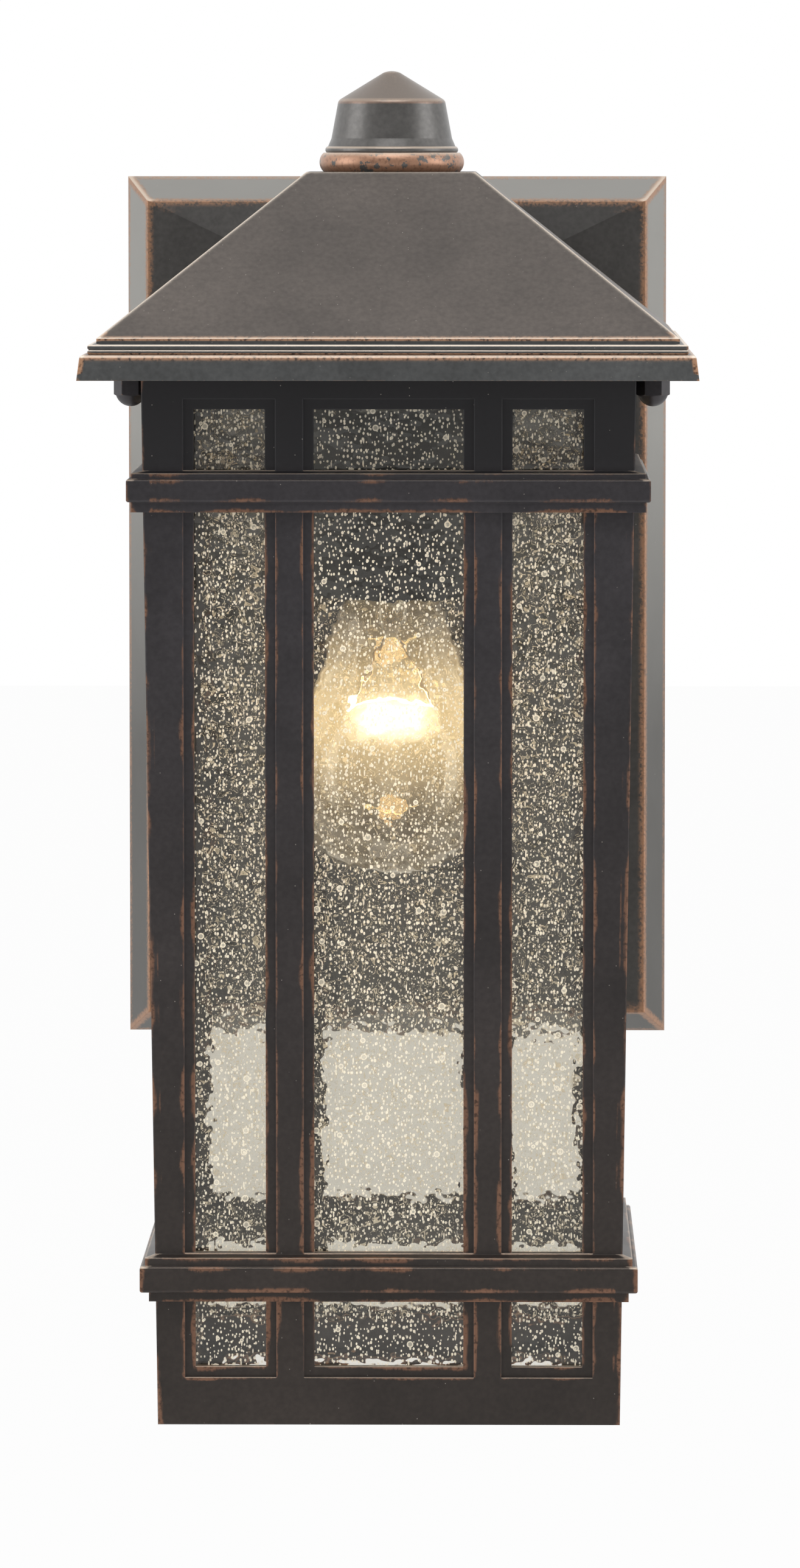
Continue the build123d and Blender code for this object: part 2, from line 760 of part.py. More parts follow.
# Bulb envelope: a clear pear of thin glass whose neck ends inside the base
ball_centre_z = z_at(bulb_end_height + bulb_ball_radius)
base_bottom_height = bulb_top_height - bulb_base_length
base_bottom_z = z_at(base_bottom_height)
neck_end_z = base_bottom_z + bulb_neck_in_base
neck_waist_z = base_bottom_z - bulb_neck_drop
collar_radius = bulb_base_radius - bulb_glass
with BuildPart() as bulb_envelope:
    with BuildSketch(side_view):
        with BuildLine():
            ball = CenterArc((0, ball_centre_z), bulb_ball_radius, -90, 90 + bulb_ball_turn)
            neck = Spline(
                ball @ 1,
                (bulb_neck_radius, neck_waist_z),
                (collar_radius, base_bottom_z),
                tangents=[ball % 1, (0, 1)],
            )
            inner_ball = CenterArc(
                (0, ball_centre_z), bulb_ball_radius - bulb_glass, -90, 90 + bulb_ball_turn
            )
            inner_neck = Spline(
                inner_ball @ 1,
                (bulb_neck_radius - bulb_glass, neck_waist_z),
                (collar_radius - bulb_glass, base_bottom_z),
                tangents=[inner_ball % 1, (0, 1)],
            )
            Polyline(
                neck @ 1,
                (collar_radius, neck_end_z),
                (collar_radius - bulb_glass, neck_end_z),
                inner_neck @ 1,
            )
            Line(inner_ball @ 0, ball @ 0)
        make_face()
    revolve(axis=cage_axis)
bulb_envelope.part.label = "bulb_envelope"
export_step(bulb_envelope.part, "parts/bulb_envelope.step")

# Bulb base: a screw cap with a coned end and its contact
base_contact_height = bulb_top_height - contact_thickness
with BuildPart() as bulb_base:
    with BuildSketch(level(base_bottom_height)):
        Circle(bulb_base_radius)
    extrude(amount=bulb_base_straight)
    with BuildSketch(level(base_bottom_height + bulb_base_straight)):
        Circle(bulb_base_radius)
    with BuildSketch(level(base_contact_height)):
        Circle(bulb_contact_radius)
    loft()
    with BuildSketch(level(base_contact_height)):
        Circle(bulb_contact_radius)
    extrude(amount=contact_thickness)
    with BuildSketch(level(base_bottom_height)):
        Circle(collar_radius + fixed_gap)
    extrude(amount=bulb_neck_in_base + fixed_gap, mode=Mode.SUBTRACT)
bulb_base.part.label = "bulb_base"
export_step(bulb_base.part, "parts/bulb_base.step")

# Bulb stem: a glass tube that tapers to its pinched foot and flares to meet the neck
stem_foot_z = neck_end_z - stem_length
stem_flare_radius = collar_radius - bulb_glass - screw_gap
with BuildPart() as bulb_stem:
    with BuildSketch(side_view):
        with BuildLine():
            tube = Polyline(
                (0, stem_foot_z),
                (stem_foot_radius, stem_foot_z),
                (stem_tube_radius, stem_foot_z + stem_taper),
                (stem_tube_radius, neck_end_z - stem_flare_height),
            )
            flare = TangentArc(tube @ 1, (stem_flare_radius, neck_end_z), tangent=(0, 1))
            Polyline(flare @ 1, (0, neck_end_z), tube @ 0)
        make_face()
    revolve(axis=cage_axis)
bulb_stem.part.label = "bulb_stem"
export_step(bulb_stem.part, "parts/bulb_stem.step")

# Filament: a shallow arch on two leads that come out of the stem's foot
filament_z = stem_foot_z - filament_drop
with BuildPart() as bulb_filament:
    with BuildLine():
        arch = ThreePointArc(
            (-filament_width / 2, -axis_depth, filament_z),
            (0, -axis_depth, filament_z + filament_rise),
            (filament_width / 2, -axis_depth, filament_z),
        )
    with BuildSketch(Plane(arch @ 0, z_dir=arch % 0)):
        Circle(filament_radius)
    sweep()
    for side in (-1, 1):
        lead_top = Vector(side * lead_spacing / 2, -axis_depth, stem_foot_z - fixed_gap)
        lead_foot = Vector(side * filament_width / 2, -axis_depth, filament_z)
        with BuildSketch(Plane(lead_top, z_dir=lead_foot - lead_top)):
            Circle(lead_radius)
        extrude(amount=(lead_foot - lead_top).length)
bulb_filament.part.label = "bulb_filament"
export_step(bulb_filament.part, "parts/bulb_filament.step")

# Moulded bands round the cage, with rounded fascias
def moulded_band(heights, reaches):
    """Moulding through five heights, whose fillet, fascia and top stand out by the reaches."""
    fillet_bottom, fascia_bottom, fascia_top, band_top, sill_top = heights
    fillet_half, fascia_half, top_half = [
        cage_half(height) + reach for height, reach in zip(heights, reaches)
    ]
    sill_half = cage_half(sill_top) - ledge_depth
    lower_fillet = square_stack((fillet_half, fillet_bottom), (fillet_half, fascia_bottom))
    fascia = square_stack((fascia_half, fascia_bottom), (fascia_half, fascia_top))
    top = square_stack((top_half, fascia_top), (top_half, band_top), (sill_half, sill_top))
    with BuildPart() as band:
        add(fascia)
        edge_rows = band.edges().group_by(Axis.Z)
        fillet(edge_rows[0] + edge_rows[-1], radius=band_edge_round)
        add([lower_fillet, top])
    return band.part


lower_band = moulded_band(
    (lower_window_top, lower_fascia_bottom, lower_fascia_top, lower_band_top, main_window_bottom),
    (lower_fillet_reach, lower_fascia_reach, lower_top_reach),
)
upper_band = moulded_band(
    (main_window_top, upper_fascia_bottom, upper_fascia_top, upper_band_top, upper_window_bottom),
    (upper_fillet_reach, upper_fascia_reach, upper_top_reach),
)

# Heights of the screws that tie the two frames to the panels, and the faces they seat on
frame_back = panel_thickness + glass_thickness + 2 * fixed_gap
bottom_flange_top = bottom_frame_height + bottom_flange_thickness
bottom_screw_height = bottom_flange_top + frame_screw_head_radius + fixed_gap
bottom_lip_half = cage_half(bottom_frame_height) - frame_back - frame_lip_thickness
glass_top_height = upper_window_top + glass_top_lap
top_screw_height = (glass_top_height + cage_height) / 2
top_lip_half = cage_half(glass_top_height) - frame_back - frame_lip_thickness
frame_ends = {
    "bottom": (bottom_screw_height, bottom_lip_half),
    "top": (top_screw_height, top_lip_half),
}
panel_turns = {"front": 0, "right": 90, "back": 180, "left": 270}


def frame_screw_seats(height, seat_half, turn):
    """Two seats on the inner side of a frame, with normals out towards the panel there."""
    outward = Vector(0, -1, 0).rotate(Axis.Z, turn)
    across = Vector(1, 0, 0).rotate(Axis.Z, turn)
    middle = Vector(0, -axis_depth, z_at(height)) + outward * seat_half
    return [
        Plane(middle + across * offset_x, x_dir=across, z_dir=outward)
        for offset_x in (-frame_screw_spacing / 2, frame_screw_spacing / 2)
    ]


# Front panel: nine windows in ledged recesses, both bands and mitred sides
panel_face = Plane(
    (0, -axis_depth - cage_bottom_half, z_at(0)), x_dir=(1, 0, 0), z_dir=(0, -1, -cage_draft)
)
outer_window_outer = cage_bottom_half - corner_post_width
outer_window_inner = outer_window_outer - outer_window_width
middle_window_half = outer_window_inner - mullion_width
window_columns = [
    (-outer_window_outer, -outer_window_inner),
    (-middle_window_half, middle_window_half),
    (outer_window_inner, outer_window_outer),
]
window_rows = [
    (bottom_rail_height, lower_window_top),
    (main_window_bottom, main_window_top),
    (upper_window_bottom, upper_window_top),
]
ledge_rows = [
    (bottom_rail_height - ledge_width, lower_window_top),
    (main_window_bottom, main_window_top),
    (upper_window_bottom, upper_window_top + ledge_width),
]


def lattice(rows, margin):
    """Rectangles in three columns, each widened by a margin, for the sketch being drawn."""
    for bottom, top in rows:
        for left, right in window_columns:
            with Locations(((left + right) / 2, (bottom + top) / 2)):
                Rectangle(right - left + 2 * margin, top - bottom)


# Ways for the frames' screws, from the frames' inner sides into the front panel
with BuildPart() as panel_screw_ways:
    for height, seat_half in frame_ends.values():
        panel_inner = cage_half(height) - panel_thickness
        for seat in frame_screw_seats(height, seat_half, 0):
            with BuildSketch(seat):
                Circle(frame_screw_radius + thread_gap)
            extrude(amount=panel_inner - seat_half + frame_screw_bite)

# The whole cage as one tapered tube, cut down to its front quarter along the mitres
mitre_reach = 2 * eave_half
tapered_tube = tapered_block(0, 0, cage_height)
tapered_core = tapered_block(panel_thickness, 0, cage_height)
with BuildPart() as front_master:
    add(tapered_tube)
    with BuildSketch(panel_face):
        lattice(ledge_rows, ledge_width)
    extrude(amount=-ledge_depth, mode=Mode.SUBTRACT)
    with BuildSketch(panel_face):
        lattice(window_rows, 0)
    extrude(amount=-2 * panel_thickness, mode=Mode.SUBTRACT)
    add([lower_band, upper_band])
    add([tapered_core, panel_screw_ways.part], mode=Mode.SUBTRACT)
    with BuildSketch(level(0)):
        with BuildLine():
            Polyline(
                (0, -mitre_gap),
                (-mitre_reach, -mitre_reach - mitre_gap),
                (mitre_reach, -mitre_reach - mitre_gap),
                close=True,
            )
        make_face()
    extrude(amount=cage_height, mode=Mode.INTERSECT)

for side, turn in panel_turns.items():
    with BuildPart() as panel:
        add(front_master.part.rotate(cage_axis, turn))
    panel.part.label = f"{side}_panel"
    export_step(panel.part, f"parts/{side}_panel.step")

# Panes, one flat behind each panel
glass_width = 2 * (cage_bottom_half - glass_corner_margin)
with BuildPart() as front_pane:
    with BuildSketch(panel_face.offset(-panel_thickness - fixed_gap)):
        with Locations((0, (glass_bottom_height + glass_top_height) / 2)):
            Rectangle(glass_width, glass_top_height - glass_bottom_height)
    extrude(amount=-glass_thickness)
for side, turn in panel_turns.items():
    with BuildPart() as pane:
        add(front_pane.part.rotate(cage_axis, turn))
    pane.part.label = f"{side}_glass"
    export_step(pane.part, f"parts/{side}_glass.step")

# Bottom frame: a flanged square ring that the panes stand on
bottom_web_top = glass_bottom_height - fixed_gap
bottom_lip_top = bottom_web_top + bottom_lip_height
bottom_web = tapered_block(panel_thickness + fixed_gap, bottom_frame_height, bottom_web_top)
bottom_lip = tapered_block(frame_back, bottom_web_top, bottom_lip_top)
bottom_hollow = square_stack(
    (bottom_lip_half, bottom_flange_top), (bottom_lip_half, bottom_lip_top)
)
bottom_opening_half = bottom_lip_half - bottom_flange_reach
bottom_opening = square_stack(
    (bottom_opening_half, bottom_frame_height), (bottom_opening_half, bottom_flange_top)
)
with BuildPart() as bottom_frame:
    add([bottom_web, bottom_lip])
    add([bottom_hollow, bottom_opening], mode=Mode.SUBTRACT)
    for turn in panel_turns.values():
        for seat in frame_screw_seats(bottom_screw_height, bottom_lip_half, turn):
            with BuildSketch(seat):
                Circle(frame_screw_radius + fixed_gap)
            extrude(amount=frame_back, mode=Mode.SUBTRACT)
bottom_frame.part.label = "bottom_frame"
export_step(bottom_frame.part, "parts/bottom_frame.step")

# Top frame: a square ring on the panels' tops, with an ear at each side for a stud
top_web_bottom = glass_top_height + fixed_gap
top_lip_bottom = top_web_bottom - top_lip_height
flange_half = cage_half(cage_height) - top_flange_margin
top_web = tapered_block(panel_thickness + fixed_gap, top_web_bottom, cage_height)
top_lip = tapered_block(frame_back, top_lip_bottom, top_web_bottom)
top_hollow = square_stack((top_lip_half, top_lip_bottom), (top_lip_half, ear_top_height))
with BuildPart() as top_frame:
    with BuildSketch(level(cage_height)):
        Rectangle(2 * flange_half, 2 * flange_half)
        Rectangle(2 * (fascia_inner_half - ear_end_gap), ear_width)
        with GridLocations(cage_stud_spacing, 0, 2, 1):
            Circle(ear_hole_radius, mode=Mode.SUBTRACT)
    extrude(amount=top_flange_thickness)
    add([top_web, top_lip])
    add(top_hollow, mode=Mode.SUBTRACT)
    for turn in panel_turns.values():
        for seat in frame_screw_seats(top_screw_height, top_lip_half, turn):
            with BuildSketch(seat):
                Circle(frame_screw_radius + fixed_gap)
            extrude(amount=frame_back, mode=Mode.SUBTRACT)
top_frame.part.label = "top_frame"
export_step(top_frame.part, "parts/top_frame.step")

# Screws that tie each frame to the four panels
for end, (height, seat_half) in frame_ends.items():
    panel_inner = cage_half(height) - panel_thickness
    frame_screw_solids = [
        pan_screw(
            seat,
            frame_screw_head_radius,
            frame_screw_head_height,
            frame_screw_radius,
            panel_inner - seat_half + frame_screw_bite - fixed_gap,
        )
        for turn in panel_turns.values()
        for seat in frame_screw_seats(height, seat_half, turn)
    ]
    with BuildPart() as frame_screws:
        add(frame_screw_solids)
    frame_screws.part.label = f"{end}_frame_screws"
    export_step(frame_screws.part, f"parts/{end}_frame_screws.step")
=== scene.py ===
"""The looks of an outdoor wall light in oil-rubbed bronze and seeded glass.

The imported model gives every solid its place. This script dresses each of them in a finish of its own, adds
the studio round the light, and sets the camera where the photograph was taken from. Lengths are metres in
Blender, and each size that a person would measure is written in millimetres and multiplied by MM.
"""

import json
import logging
import math
from dataclasses import dataclass, field
from enum import Enum
from typing import Any

import bpy
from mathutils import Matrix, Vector

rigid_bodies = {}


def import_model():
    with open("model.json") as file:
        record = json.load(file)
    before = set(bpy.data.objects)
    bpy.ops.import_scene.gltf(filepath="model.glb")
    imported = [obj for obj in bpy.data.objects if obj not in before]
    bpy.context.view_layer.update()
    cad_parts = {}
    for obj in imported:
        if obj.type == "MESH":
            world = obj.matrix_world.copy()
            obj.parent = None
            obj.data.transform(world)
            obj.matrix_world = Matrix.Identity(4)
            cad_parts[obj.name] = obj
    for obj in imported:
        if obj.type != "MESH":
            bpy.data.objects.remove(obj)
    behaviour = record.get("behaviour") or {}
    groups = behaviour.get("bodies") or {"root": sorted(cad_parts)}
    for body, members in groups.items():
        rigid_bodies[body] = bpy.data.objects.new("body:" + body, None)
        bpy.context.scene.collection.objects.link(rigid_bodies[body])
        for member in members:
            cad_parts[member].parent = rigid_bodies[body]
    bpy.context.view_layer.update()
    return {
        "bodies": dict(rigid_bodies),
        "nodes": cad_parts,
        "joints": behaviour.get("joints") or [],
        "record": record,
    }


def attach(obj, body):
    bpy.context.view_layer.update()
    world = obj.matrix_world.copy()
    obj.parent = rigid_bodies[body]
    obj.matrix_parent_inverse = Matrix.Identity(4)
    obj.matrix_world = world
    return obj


Tree = bpy.types.NodeTree
Socket = bpy.types.NodeSocket
Node = bpy.types.Node
Material = bpy.types.Material

MM = 0.001
PHOTO_HEIGHT = 2576

# How far the axis of the cage and the bulb stands from the wall, in millimetres, as in the part.
AXIS_DEPTH = 140.0

# A Mix node with this setting mixes colours. Its sockets are the factor, the two colours and the result.
COLOURS = {"data_type": "RGBA"}
FACTOR, FIRST, SECOND, MIXED = 0, 6, 7, 2

# A Map Range node with this setting is a soft step from 0 at From Min to 1 at From Max.
SOFT = {"interpolation_type": "SMOOTHSTEP"}

# The values of a noise texture that a Map Range node spreads over the whole of its result.
NOISE = {"From Min": 0.3, "From Max": 0.7}

# A Wave texture at Scale 1 has a band every so many metres.
WAVE_BAND = 0.314159

# The change in the cloth's pressure where it is meant to miss the piece.
UNTOUCHED = -4.0

WHITE = (1.0, 1.0, 1.0, 1.0)

log = logging.getLogger("wall_light")


def linear(hex_colour: str) -> tuple[float, float, float, float]:
    """Turns an sRGB colour into the linear one that Blender's sockets take.

    Args:
        hex_colour: The colour as six hex digits, such as "3a322e".

    Returns:
        Red, green, blue and an alpha of 1.
    """
    shares = [int(hex_colour[i:i + 2], 16) / 255 for i in (0, 2, 4)]
    red, green, blue = (s / 12.92 if s <= 0.04045 else ((s + 0.055) / 1.055) ** 2.4 for s in shares)
    return (red, green, blue, 1.0)


def per_metre(size_mm: float) -> float:
    """A texture's Scale, for features that are size_mm across."""
    return 1.0 / (size_mm * MM)


def put(tree: Tree, kind: str, inputs: dict[Any, Any] | None = None, **settings: Any) -> Node:
    """Adds one node with its settings, its fixed inputs and its links.

    Args:
        tree: The node tree that gets it.
        kind: Blender's name for the node, without the "ShaderNode" in front.
        inputs: Each input's name or number, with a value, an output socket to link to it, or a node whose
            first output is linked to it.
        settings: The node's own options.

    Returns:
        The new node.
    """
    made = tree.nodes.new("ShaderNode" + kind)
    for name, value in settings.items():
        setattr(made, name, value)
    for name, value in (inputs or {}).items():
        if isinstance(value, Node):
            value = value.outputs[0]
        if isinstance(value, Socket):
            tree.links.new(value, made.inputs[name])
        else:
            made.inputs[name].default_value = value
    return made


def new_material(name: str) -> tuple[Material, Tree]:
    """Makes an empty material.

    Args:
        name: The finish's name.

    Returns:
        The material and its node tree.
    """
    material = bpy.data.materials.new(name)
    material.use_nodes = True
    material.node_tree.nodes.clear()
    return material, material.node_tree


class Brushing(Enum):
    """The way a finish was wiped: its marks' Scale along X, Y and Z, which is small where they are long."""

    UPRIGHT = (1.0, 1.0, 0.12)
    LEVEL = (0.12, 0.12, 1.0)
    NONE = (1.0, 1.0, 1.0)


class Thread(Enum):
    """A rolled or cut thread's pitch, in millimetres."""

    PLAIN = 0.0
    MACHINE_SCREW = 0.8
    LAMP_PIPE = 0.94
    BULB_CAP = 3.63


@dataclass(frozen=True)
class OilRubbedBronze:
    """Dark bronze lacquer over cast aluminium, wiped back by hand so that the edges show copper.

    The lacquer is satin and nearly black, with a fine grain from the casting. Its tone from ground to
    ground_low is a painted reflection. Where the cloth pressed, along outward edges, it is worn to warm
    copper in strokes with tapered ends, and an edge that looks up to the light gets a thin pale line of
    painted highlight.

    Attributes:
        name: The material's name.
        ground: The lacquer's colour high on the piece, with its painted reflection.
        ground_low: The lacquer's colour low on the piece, with its painted reflection.
        tone_heights: The heights between which the one turns into the other, in millimetres.
        copper: The colour under the lacquer.
        highlight_colour: The colour of the painted highlight on an arris that looks up.
        reach: How far from an edge the cloth may go, in millimetres.
        arris_share: What edge_share gives right on the arris that the cloth wears most.
        pressure: How hard the cloth pressed: 0 wears nothing, 0.3 a thin line and 1 the whole reach.
        unevenness: How much the pressure changes along an edge.
        stroke: The length of a stroke, in millimetres.
        pores: The copper's colour where a little lacquer stays in its pores.
        highlight_unrubbed: How strong the painted highlight on an arris that looks up is where it isn't
            rubbed, from 0 to 1.
        brushing: The direction of the faint wipe marks.
        roughness: The lacquer's roughness.
        metallic: How metallic the lacquer is.
        grain: The height of the casting's grain, in millimetres.
        specks: How many pale specks lie on the lacquer, from 0 to 1.
    """

    name: str
    ground: str = "393639"
    ground_low: str = "372f2b"
    tone_heights: tuple[float, float] = (60.0, -235.0)
    copper: str = "8e6a55"
    highlight_colour: str = "d6c3b0"
    reach: float = 1.5
    arris_share: float = 0.5
    pressure: float = 0.3
    unevenness: float = 0.3
    stroke: float = 18.0
    pores: str = "553c2f"
    highlight_unrubbed: float = 0.5
    brushing: Brushing = Brushing.NONE
    roughness: float = 0.42
    metallic: float = 0.45
    grain: float = 0.02
    specks: float = 0.3

    def edge_share(self, tree: Tree) -> Socket:
        """How near an outward edge a point is: 0 on a flat, about a half on the arris of a square corner."""
        inside = put(
            tree, "AmbientOcclusion", {"Distance": self.reach * MM}, inside=True, only_local=True, samples=12,
        )
        return put(tree, "Math", {0: 1.0, 1: inside.outputs["AO"]}, operation="SUBTRACT").outputs[0]

    def more_pressure(self, tree: Tree, place: Socket, height: Socket) -> Socket | None:
        """Where the cloth pressed harder or softer on this piece. A plain piece has no such place."""
        return None

    def coat(self, tree: Tree, place: Socket, height: Socket, lacquer: Socket) -> Socket:
        """Changes the lacquer's colour on some part of the piece, with a real coat on some pieces and painted
        light on others. A plain piece keeps it.
        """
        return lacquer

    def rubbing(self, tree: Tree, place: Socket, height: Socket, edge: Socket) -> Socket:
        """Where the copper shows: on the edges, in strokes as a hand leaves them.

        Args:
            tree: The node tree.
            place: The point on the light.
            height: The point's height.
            edge: The point's share of an edge.

        Returns:
            1 where the lacquer is gone.
        """
        strokes = put(tree, "TexNoise", {"Vector": place, "Scale": per_metre(self.stroke), "Detail": 2.0})
        pressure = put(
            tree, "MapRange",
            {"Value": strokes.outputs["Fac"], "From Min": 0.36, "From Max": 0.64,
             "To Min": self.pressure - self.unevenness, "To Max": self.pressure + self.unevenness},
        ).outputs[0]
        more = self.more_pressure(tree, place, height)
        if more is not None:
            pressure = put(tree, "Math", {0: pressure, 1: more}, operation="ADD").outputs[0]
        along = put(tree, "Mapping", {"Vector": place, "Scale": self.brushing.value})
        # The cloth's threads leave scratches finer than a pixel, drawn 0.9 mm apart so that they show.
        threads = put(tree, "TexNoise", {"Vector": along, "Scale": per_metre(0.9), "Detail": 2.0})
        ragged = put(
            tree, "MapRange",
            {"Value": threads.outputs["Fac"], **NOISE, "To Min": -0.14, "To Max": 0.14},
        )
        pressed = put(tree, "Math", {0: pressure, 1: ragged}, operation="ADD")
        worn = put(
            tree, "Math", {0: edge, 1: 1.0 / self.arris_share, 2: pressed}, operation="MULTIPLY_ADD",
        )
        bare = put(tree, "MapRange", {"Value": worn, "From Min": 1.0, "From Max": 1.12}, **SOFT)
        on_edge = put(tree, "MapRange", {"Value": edge, "From Min": 0.02, "From Max": 0.07}, **SOFT)
        return put(tree, "Math", {0: bare, 1: on_edge}, operation="MULTIPLY").outputs[0]

    def painted_highlight_mask(self, tree: Tree, edge: Socket, rounded: Socket, rubbed: Socket) -> Socket:
        """Where an arris looks up to the light and gets a painted highlight, a pale line.

        Args:
            tree: The node tree.
            edge: The point's share of an edge.
            rounded: The surface's direction, rounded off at the edges.
            rubbed: Where the copper shows.

        Returns:
            1 on such an arris.
        """
        upward = put(tree, "SeparateXYZ", {0: rounded}).outputs["Z"]
        looks_up = put(tree, "MapRange", {"Value": upward, "From Min": 0.2, "From Max": 0.6}, **SOFT)
        on_arris = put(
            tree, "MapRange",
            {"Value": edge, "From Min": 0.45 * self.arris_share, "From Max": 0.7 * self.arris_share}, **SOFT,
        )
        both = put(tree, "Math", {0: looks_up, 1: on_arris}, operation="MULTIPLY")
        bare = put(tree, "MapRange", {"Value": rubbed, "To Min": self.highlight_unrubbed, "To Max": 1.0})
        return put(tree, "Math", {0: both, 1: bare}, operation="MULTIPLY").outputs[0]

    def make(self) -> Material:
        """Builds the finish.

        Returns:
            The material.
        """
        material, tree = new_material(self.name)
        place = put(tree, "TexCoord").outputs["Object"]
        height = put(tree, "SeparateXYZ", {0: place}).outputs["Z"]
        edge = self.edge_share(tree)
        rounded = put(tree, "Bevel", {"Radius": 0.45 * MM}, samples=6).outputs[0]
        rubbed = self.rubbing(tree, place, height, edge)
        painted_highlight = self.painted_highlight_mask(tree, edge, rounded, rubbed)

        # The lacquer pools unevenly: its tone drifts over centimetres and is finely mottled over millimetres.
        drift = put(
            tree, "TexNoise", {"Vector": place, "Scale": per_metre(45), "Detail": 4.0, "Roughness": 0.65},
        )
        mottle = put(tree, "TexNoise", {"Vector": place, "Scale": per_metre(1.6), "Detail": 3.0})
        # Painted reflection: the lacquer is toned from ground high on the piece to ground_low low on it.
        top, bottom = self.tone_heights
        low = put(tree, "MapRange", {"Value": height, "From Min": top * MM, "From Max": bottom * MM}, **SOFT)
        toned = put(
            tree, "Mix",
            {FACTOR: low, FIRST: linear(self.ground), SECOND: linear(self.ground_low)}, **COLOURS,
        )
        lacquer = toned.outputs[MIXED]
        for pattern, least, most in ((drift, 0.78, 1.22), (mottle, 0.86, 1.14)):
            share = put(
                tree, "MapRange",
                {"Value": pattern.outputs["Fac"], **NOISE, "To Min": least, "To Max": most},
            )
            lacquer = put(tree, "VectorMath", {0: lacquer, 3: share}, operation="SCALE").outputs[0]
        lacquer = self.with_specks(tree, place, self.coat(tree, place, height, lacquer))

        pores = put(tree, "TexNoise", {"Vector": place, "Scale": per_metre(1.1), "Detail": 3.0})
        clean = put(
            tree, "MapRange", {"Value": pores.outputs["Fac"], "From Min": 0.7, "From Max": 0.46}, **SOFT,
        )
        bare = put(
            tree, "Mix", {FACTOR: clean, FIRST: linear(self.pores), SECOND: linear(self.copper)},
            **COLOURS,
        )
        worn = put(
            tree, "Mix", {FACTOR: rubbed, FIRST: lacquer, SECOND: bare.outputs[MIXED]}, **COLOURS,
        )
        # Painted highlight: a pale line on the arrises that look up.
        colour = put(
            tree, "Mix", {FACTOR: painted_highlight, FIRST: worn.outputs[MIXED], SECOND: linear(self.highlight_colour)},
            **COLOURS,
        )
        roughness = put(
            tree, "MapRange",
            {"Value": drift.outputs["Fac"], **NOISE,
             "To Min": self.roughness - 0.05, "To Max": self.roughness + 0.06},
        )
        cast = put(
            tree, "Bump",
            {"Strength": 0.5, "Distance": self.grain * MM, "Height": mottle.outputs["Fac"],
             "Normal": rounded},
        )
        metal = put(tree, "MapRange", {"Value": rubbed, "To Min": self.metallic, "To Max": 0.5})
        finish = put(
            tree, "BsdfPrincipled",
            {"Base Color": colour.outputs[MIXED], "Metallic": metal,
             "Roughness": roughness, "Normal": cast,
             "Coat Weight": 0.15, "Coat Roughness": 0.3},
        )
        put(tree, "OutputMaterial", {"Surface": finish})
        return material

    def with_specks(self, tree: Tree, place: Socket, lacquer: Socket) -> Socket:
        """Scatters tiny pale specks, the dust that sets in a sprayed coat.

        Args:
            tree: The node tree.
            place: The point on the piece.
            lacquer: The coat's colour.

        Returns:
            The colour with its specks, drawn 0.3 mm across so that they show at all.
        """
        cells = put(tree, "TexVoronoi", {"Vector": place, "Scale": per_metre(2.2)})
        chance, pallor, _ = put(tree, "SeparateColor", {0: cells.outputs["Color"]}).outputs
        few = put(
            tree, "MapRange",
            {"Value": chance, "From Min": 1.0 - 0.5 * self.specks, "From Max": 1.0 - 0.48 * self.specks},
            **SOFT,
        )
        dot = put(
            tree, "MapRange", {"Value": cells.outputs["Distance"], "From Min": 0.09, "From Max": 0.05},
            **SOFT,
        )
        pale = put(tree, "MapRange", {"Value": pallor, "To Min": 0.2, "To Max": 0.8})
        speck = put(tree, "Math", {0: few, 1: dot}, operation="MULTIPLY")
        speck = put(tree, "Math", {0: speck, 1: pale}, operation="MULTIPLY")
        made = put(
            tree, "Mix", {FACTOR: speck, FIRST: lacquer, SECOND: linear("b0a8a0")}, **COLOURS,
        )
        return made.outputs[MIXED]


@dataclass(frozen=True)
class PlateBronze(OilRubbedBronze):
    """The bronze of the backplate, whose sloped sides are painted paler and greyer than its face, a painted
    sheen.

    Attributes:
        face_half: Half the width and half the height of the face, in millimetres.
        rim: The colour of the painted sheen on the sides, high up.
        rim_low: The colour of that sheen low down.
        rim_heights: The heights between which the one turns into the other, in millimetres.
    """

    face_half: tuple[float, float] = (82.3, 134.4)
    rim: str = "8d8b86"
    rim_low: str = "504e4a"
    rim_heights: tuple[float, float] = (60.0, -45.0)

    def beyond_face(self, tree: Tree, place: Socket) -> Socket:
        """How far a point lies beyond the border of the face, in metres. Within the face this is below 0."""
        sides = put(tree, "VectorMath", {0: place}, operation="ABSOLUTE")
        parts = put(tree, "SeparateXYZ", {0: sides})
        beyond = [
            put(tree, "Math", {0: parts.outputs[axis], 1: half * MM}, operation="SUBTRACT").outputs[0]
            for axis, half in zip("XZ", self.face_half)
        ]
        return put(tree, "Math", {0: beyond[0], 1: beyond[1]}, operation="MAXIMUM").outputs[0]

    def more_pressure(self, tree: Tree, place: Socket, height: Socket) -> Socket:
        """Presses on the face's border alone, so its low ridges and its holes keep their lacquer."""
        return put(
            tree, "MapRange",
            {"Value": self.beyond_face(tree, place), "From Min": -4 * MM, "From Max": -5 * MM,
             "To Max": UNTOUCHED},
        ).outputs[0]

    def coat(self, tree: Tree, place: Socket, height: Socket, lacquer: Socket) -> Socket:
        """Paints the sheen on the sides, paler high up than low down."""
        top, bottom = self.rim_heights
        low = put(tree, "MapRange", {"Value": height, "From Min": top * MM, "From Max": bottom * MM})
        toned = put(
            tree, "Mix", {FACTOR: low, FIRST: linear(self.rim), SECOND: linear(self.rim_low)},
            **COLOURS,
        )
        beyond = self.beyond_face(tree, place)
        on_rim = put(tree, "MapRange", {"Value": beyond, "From Min": 0.0, "From Max": 0.5 * MM}, **SOFT)
        made = put(
            tree, "Mix", {FACTOR: on_rim, FIRST: lacquer, SECOND: toned.outputs[MIXED]}, **COLOURS,
        )
        return made.outputs[MIXED]


